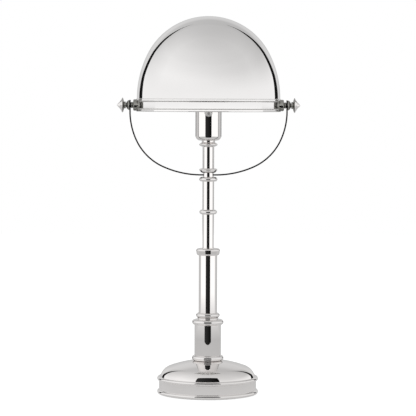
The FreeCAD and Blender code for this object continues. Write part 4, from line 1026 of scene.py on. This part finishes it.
def make_world():
    """White studio that polished metal sees as a room: bright low walls before and beside the lamp, dimmer
    above and behind, and a thin dark frame round the wall behind."""
    world = bpy.data.worlds.new("studio")
    bpy.context.scene.world = world
    world.use_nodes = True
    tree = world.node_tree
    tree.nodes.clear()
    out = add(tree, "ShaderNodeOutputWorld")
    light = add(tree, "ShaderNodeBackground")
    light.inputs["Color"].default_value = (1, 1, 1, 1)
    way = add(tree, "ShaderNodeTexCoord")
    axis = add(tree, "ShaderNodeSeparateXYZ")
    wire(tree, way.outputs["Generated"], axis.inputs[0])
    x, y, z = axis.outputs["X"], axis.outputs["Y"], axis.outputs["Z"]
    by_height = levels(tree, z, ((-1, 1.0), (0.02, 1.0), (0.37, 0.95), (0.51, 0.88), (0.61, 0.85),
                                 (0.66, 0.82), (0.80, 0.78), (0.92, 0.72), (1, 0.67)))
    to_back = levels(tree, y, ((-1, 1.0), (-0.1, 1.0), (0.2, 0.91), (0.48, 0.81), (0.55, 0.75), (0.76, 0.70),
                               (0.84, 0.80), (0.92, 0.76), (1, 0.68)))
    aloft = span_of(tree, z, 0.1, 0.5, smooth=True)
    behind = levels(tree, y, ((-1, 0.0), (0.72, 0.0), (0.80, 0.24), (0.92, 0.27), (1, 0.42)))
    beside = sum_of(tree, "MULTIPLY", span_of(tree, x, -0.8, 0.8, 1.09, 0.86), to_back)
    shift = sum_of(tree, "MULTIPLY_ADD", aloft, sum_of(tree, "SUBTRACT", beside, 1.0), 1.0)
    low_back = sum_of(tree, "MULTIPLY", behind, sum_of(tree, "SUBTRACT", 1.0, aloft))
    level = sum_of(tree, "MULTIPLY", by_height, sum_of(tree, "SUBTRACT", shift, low_back))
    # white before and grey behind where the stems look, just below the level
    below = span_of(tree, z, -0.0035, -0.0055)
    low = levels(tree, y, ((-1, 1.17), (0.10, 1.17), (0.125, 0.66), (0.74, 0.56), (0.82, 0.26), (1, 0.12)))
    level = sum_of(tree, "MULTIPLY_ADD", below, sum_of(tree, "SUBTRACT", low, level), level)
    # the dark frame, gone straight above
    aside = sum_of(tree, "MULTIPLY_ADD", x, x, sum_of(tree, "MULTIPLY", z, z))
    aside = sum_of(tree, "SQRT", aside)
    height = sum_of(tree, "DIVIDE", z, sum_of(tree, "MAXIMUM", aside, 0.001))
    width = levels(tree, height, ((-1, 0.084), (0.06, 0.084), (0.2, 0.072), (0.56, 0.056), (0.79, 0.036),
                                  (0.90, 0.012), (0.97, 0.0)))
    lean = levels(tree, height, ((-1, 0.772), (0.25, 0.768), (0.44, 0.72), (0.6, 0.68), (0.8, 0.64),
                                 (1, 0.62)))
    off = sum_of(tree, "ABSOLUTE", sum_of(tree, "SUBTRACT", y, lean))
    dark = sum_of(tree, "LESS_THAN", off, width)
    dark = sum_of(tree, "MULTIPLY", dark, sum_of(tree, "LESS_THAN", below, 0.5))
    level = sum_of(tree, "MULTIPLY", level, span_of(tree, dark, 0, 1, 1.0, 0.01))
    ray = add(tree, "ShaderNodeLightPath")
    glossy = sum_of(tree, "MULTIPLY", ray.outputs["Is Glossy Ray"], level)
    plain = sum_of(tree, "SUBTRACT", 1.0, ray.outputs["Is Glossy Ray"])
    strength = sum_of(tree, "ADD", glossy, plain)
    wire(tree, strength, light.inputs["Strength"])
    wire(tree, light.outputs[0], out.inputs["Surface"])


def make_lamp():
    """Large soft light above and to the left, for the matt pieces."""
    data = bpy.data.lights.new("soft_light", "AREA")
    data.shape = "DISK"
    data.size = 1.6
    data.energy = 9.0
    lamp = bpy.data.objects.new("soft_light", data)
    bpy.context.scene.collection.objects.link(lamp)
    lamp.location = (-1.3, -1.6, 2.0)
    lamp.rotation_euler = (Vector((0, 0, 0.3)) - lamp.location).to_track_quat("-Z", "Y").to_euler()
    lamp.visible_glossy = False


CAMERA_AT = (-0.0003, -3.388, 0.476)
CAMERA_DOWN = 2.949              # degrees below level
CAMERA_ROLL = 0.2
CAMERA_LENS = 181.73


def make_camera():
    data = bpy.data.cameras.new("camera")
    data.sensor_width = 36.0
    data.lens = CAMERA_LENS
    camera = bpy.data.objects.new("camera", data)
    bpy.context.scene.collection.objects.link(camera)
    pitch = Matrix.Rotation(math.radians(90 - CAMERA_DOWN), 4, "X")
    roll = Matrix.Rotation(math.radians(CAMERA_ROLL), 4, "Z")
    camera.matrix_world = Matrix.Translation(CAMERA_AT) @ pitch @ roll
    bpy.context.scene.camera = camera


make_floor()
make_black_card()
make_world()
make_lamp()
make_camera()
bpy.context.scene.view_settings.view_transform = "Standard"
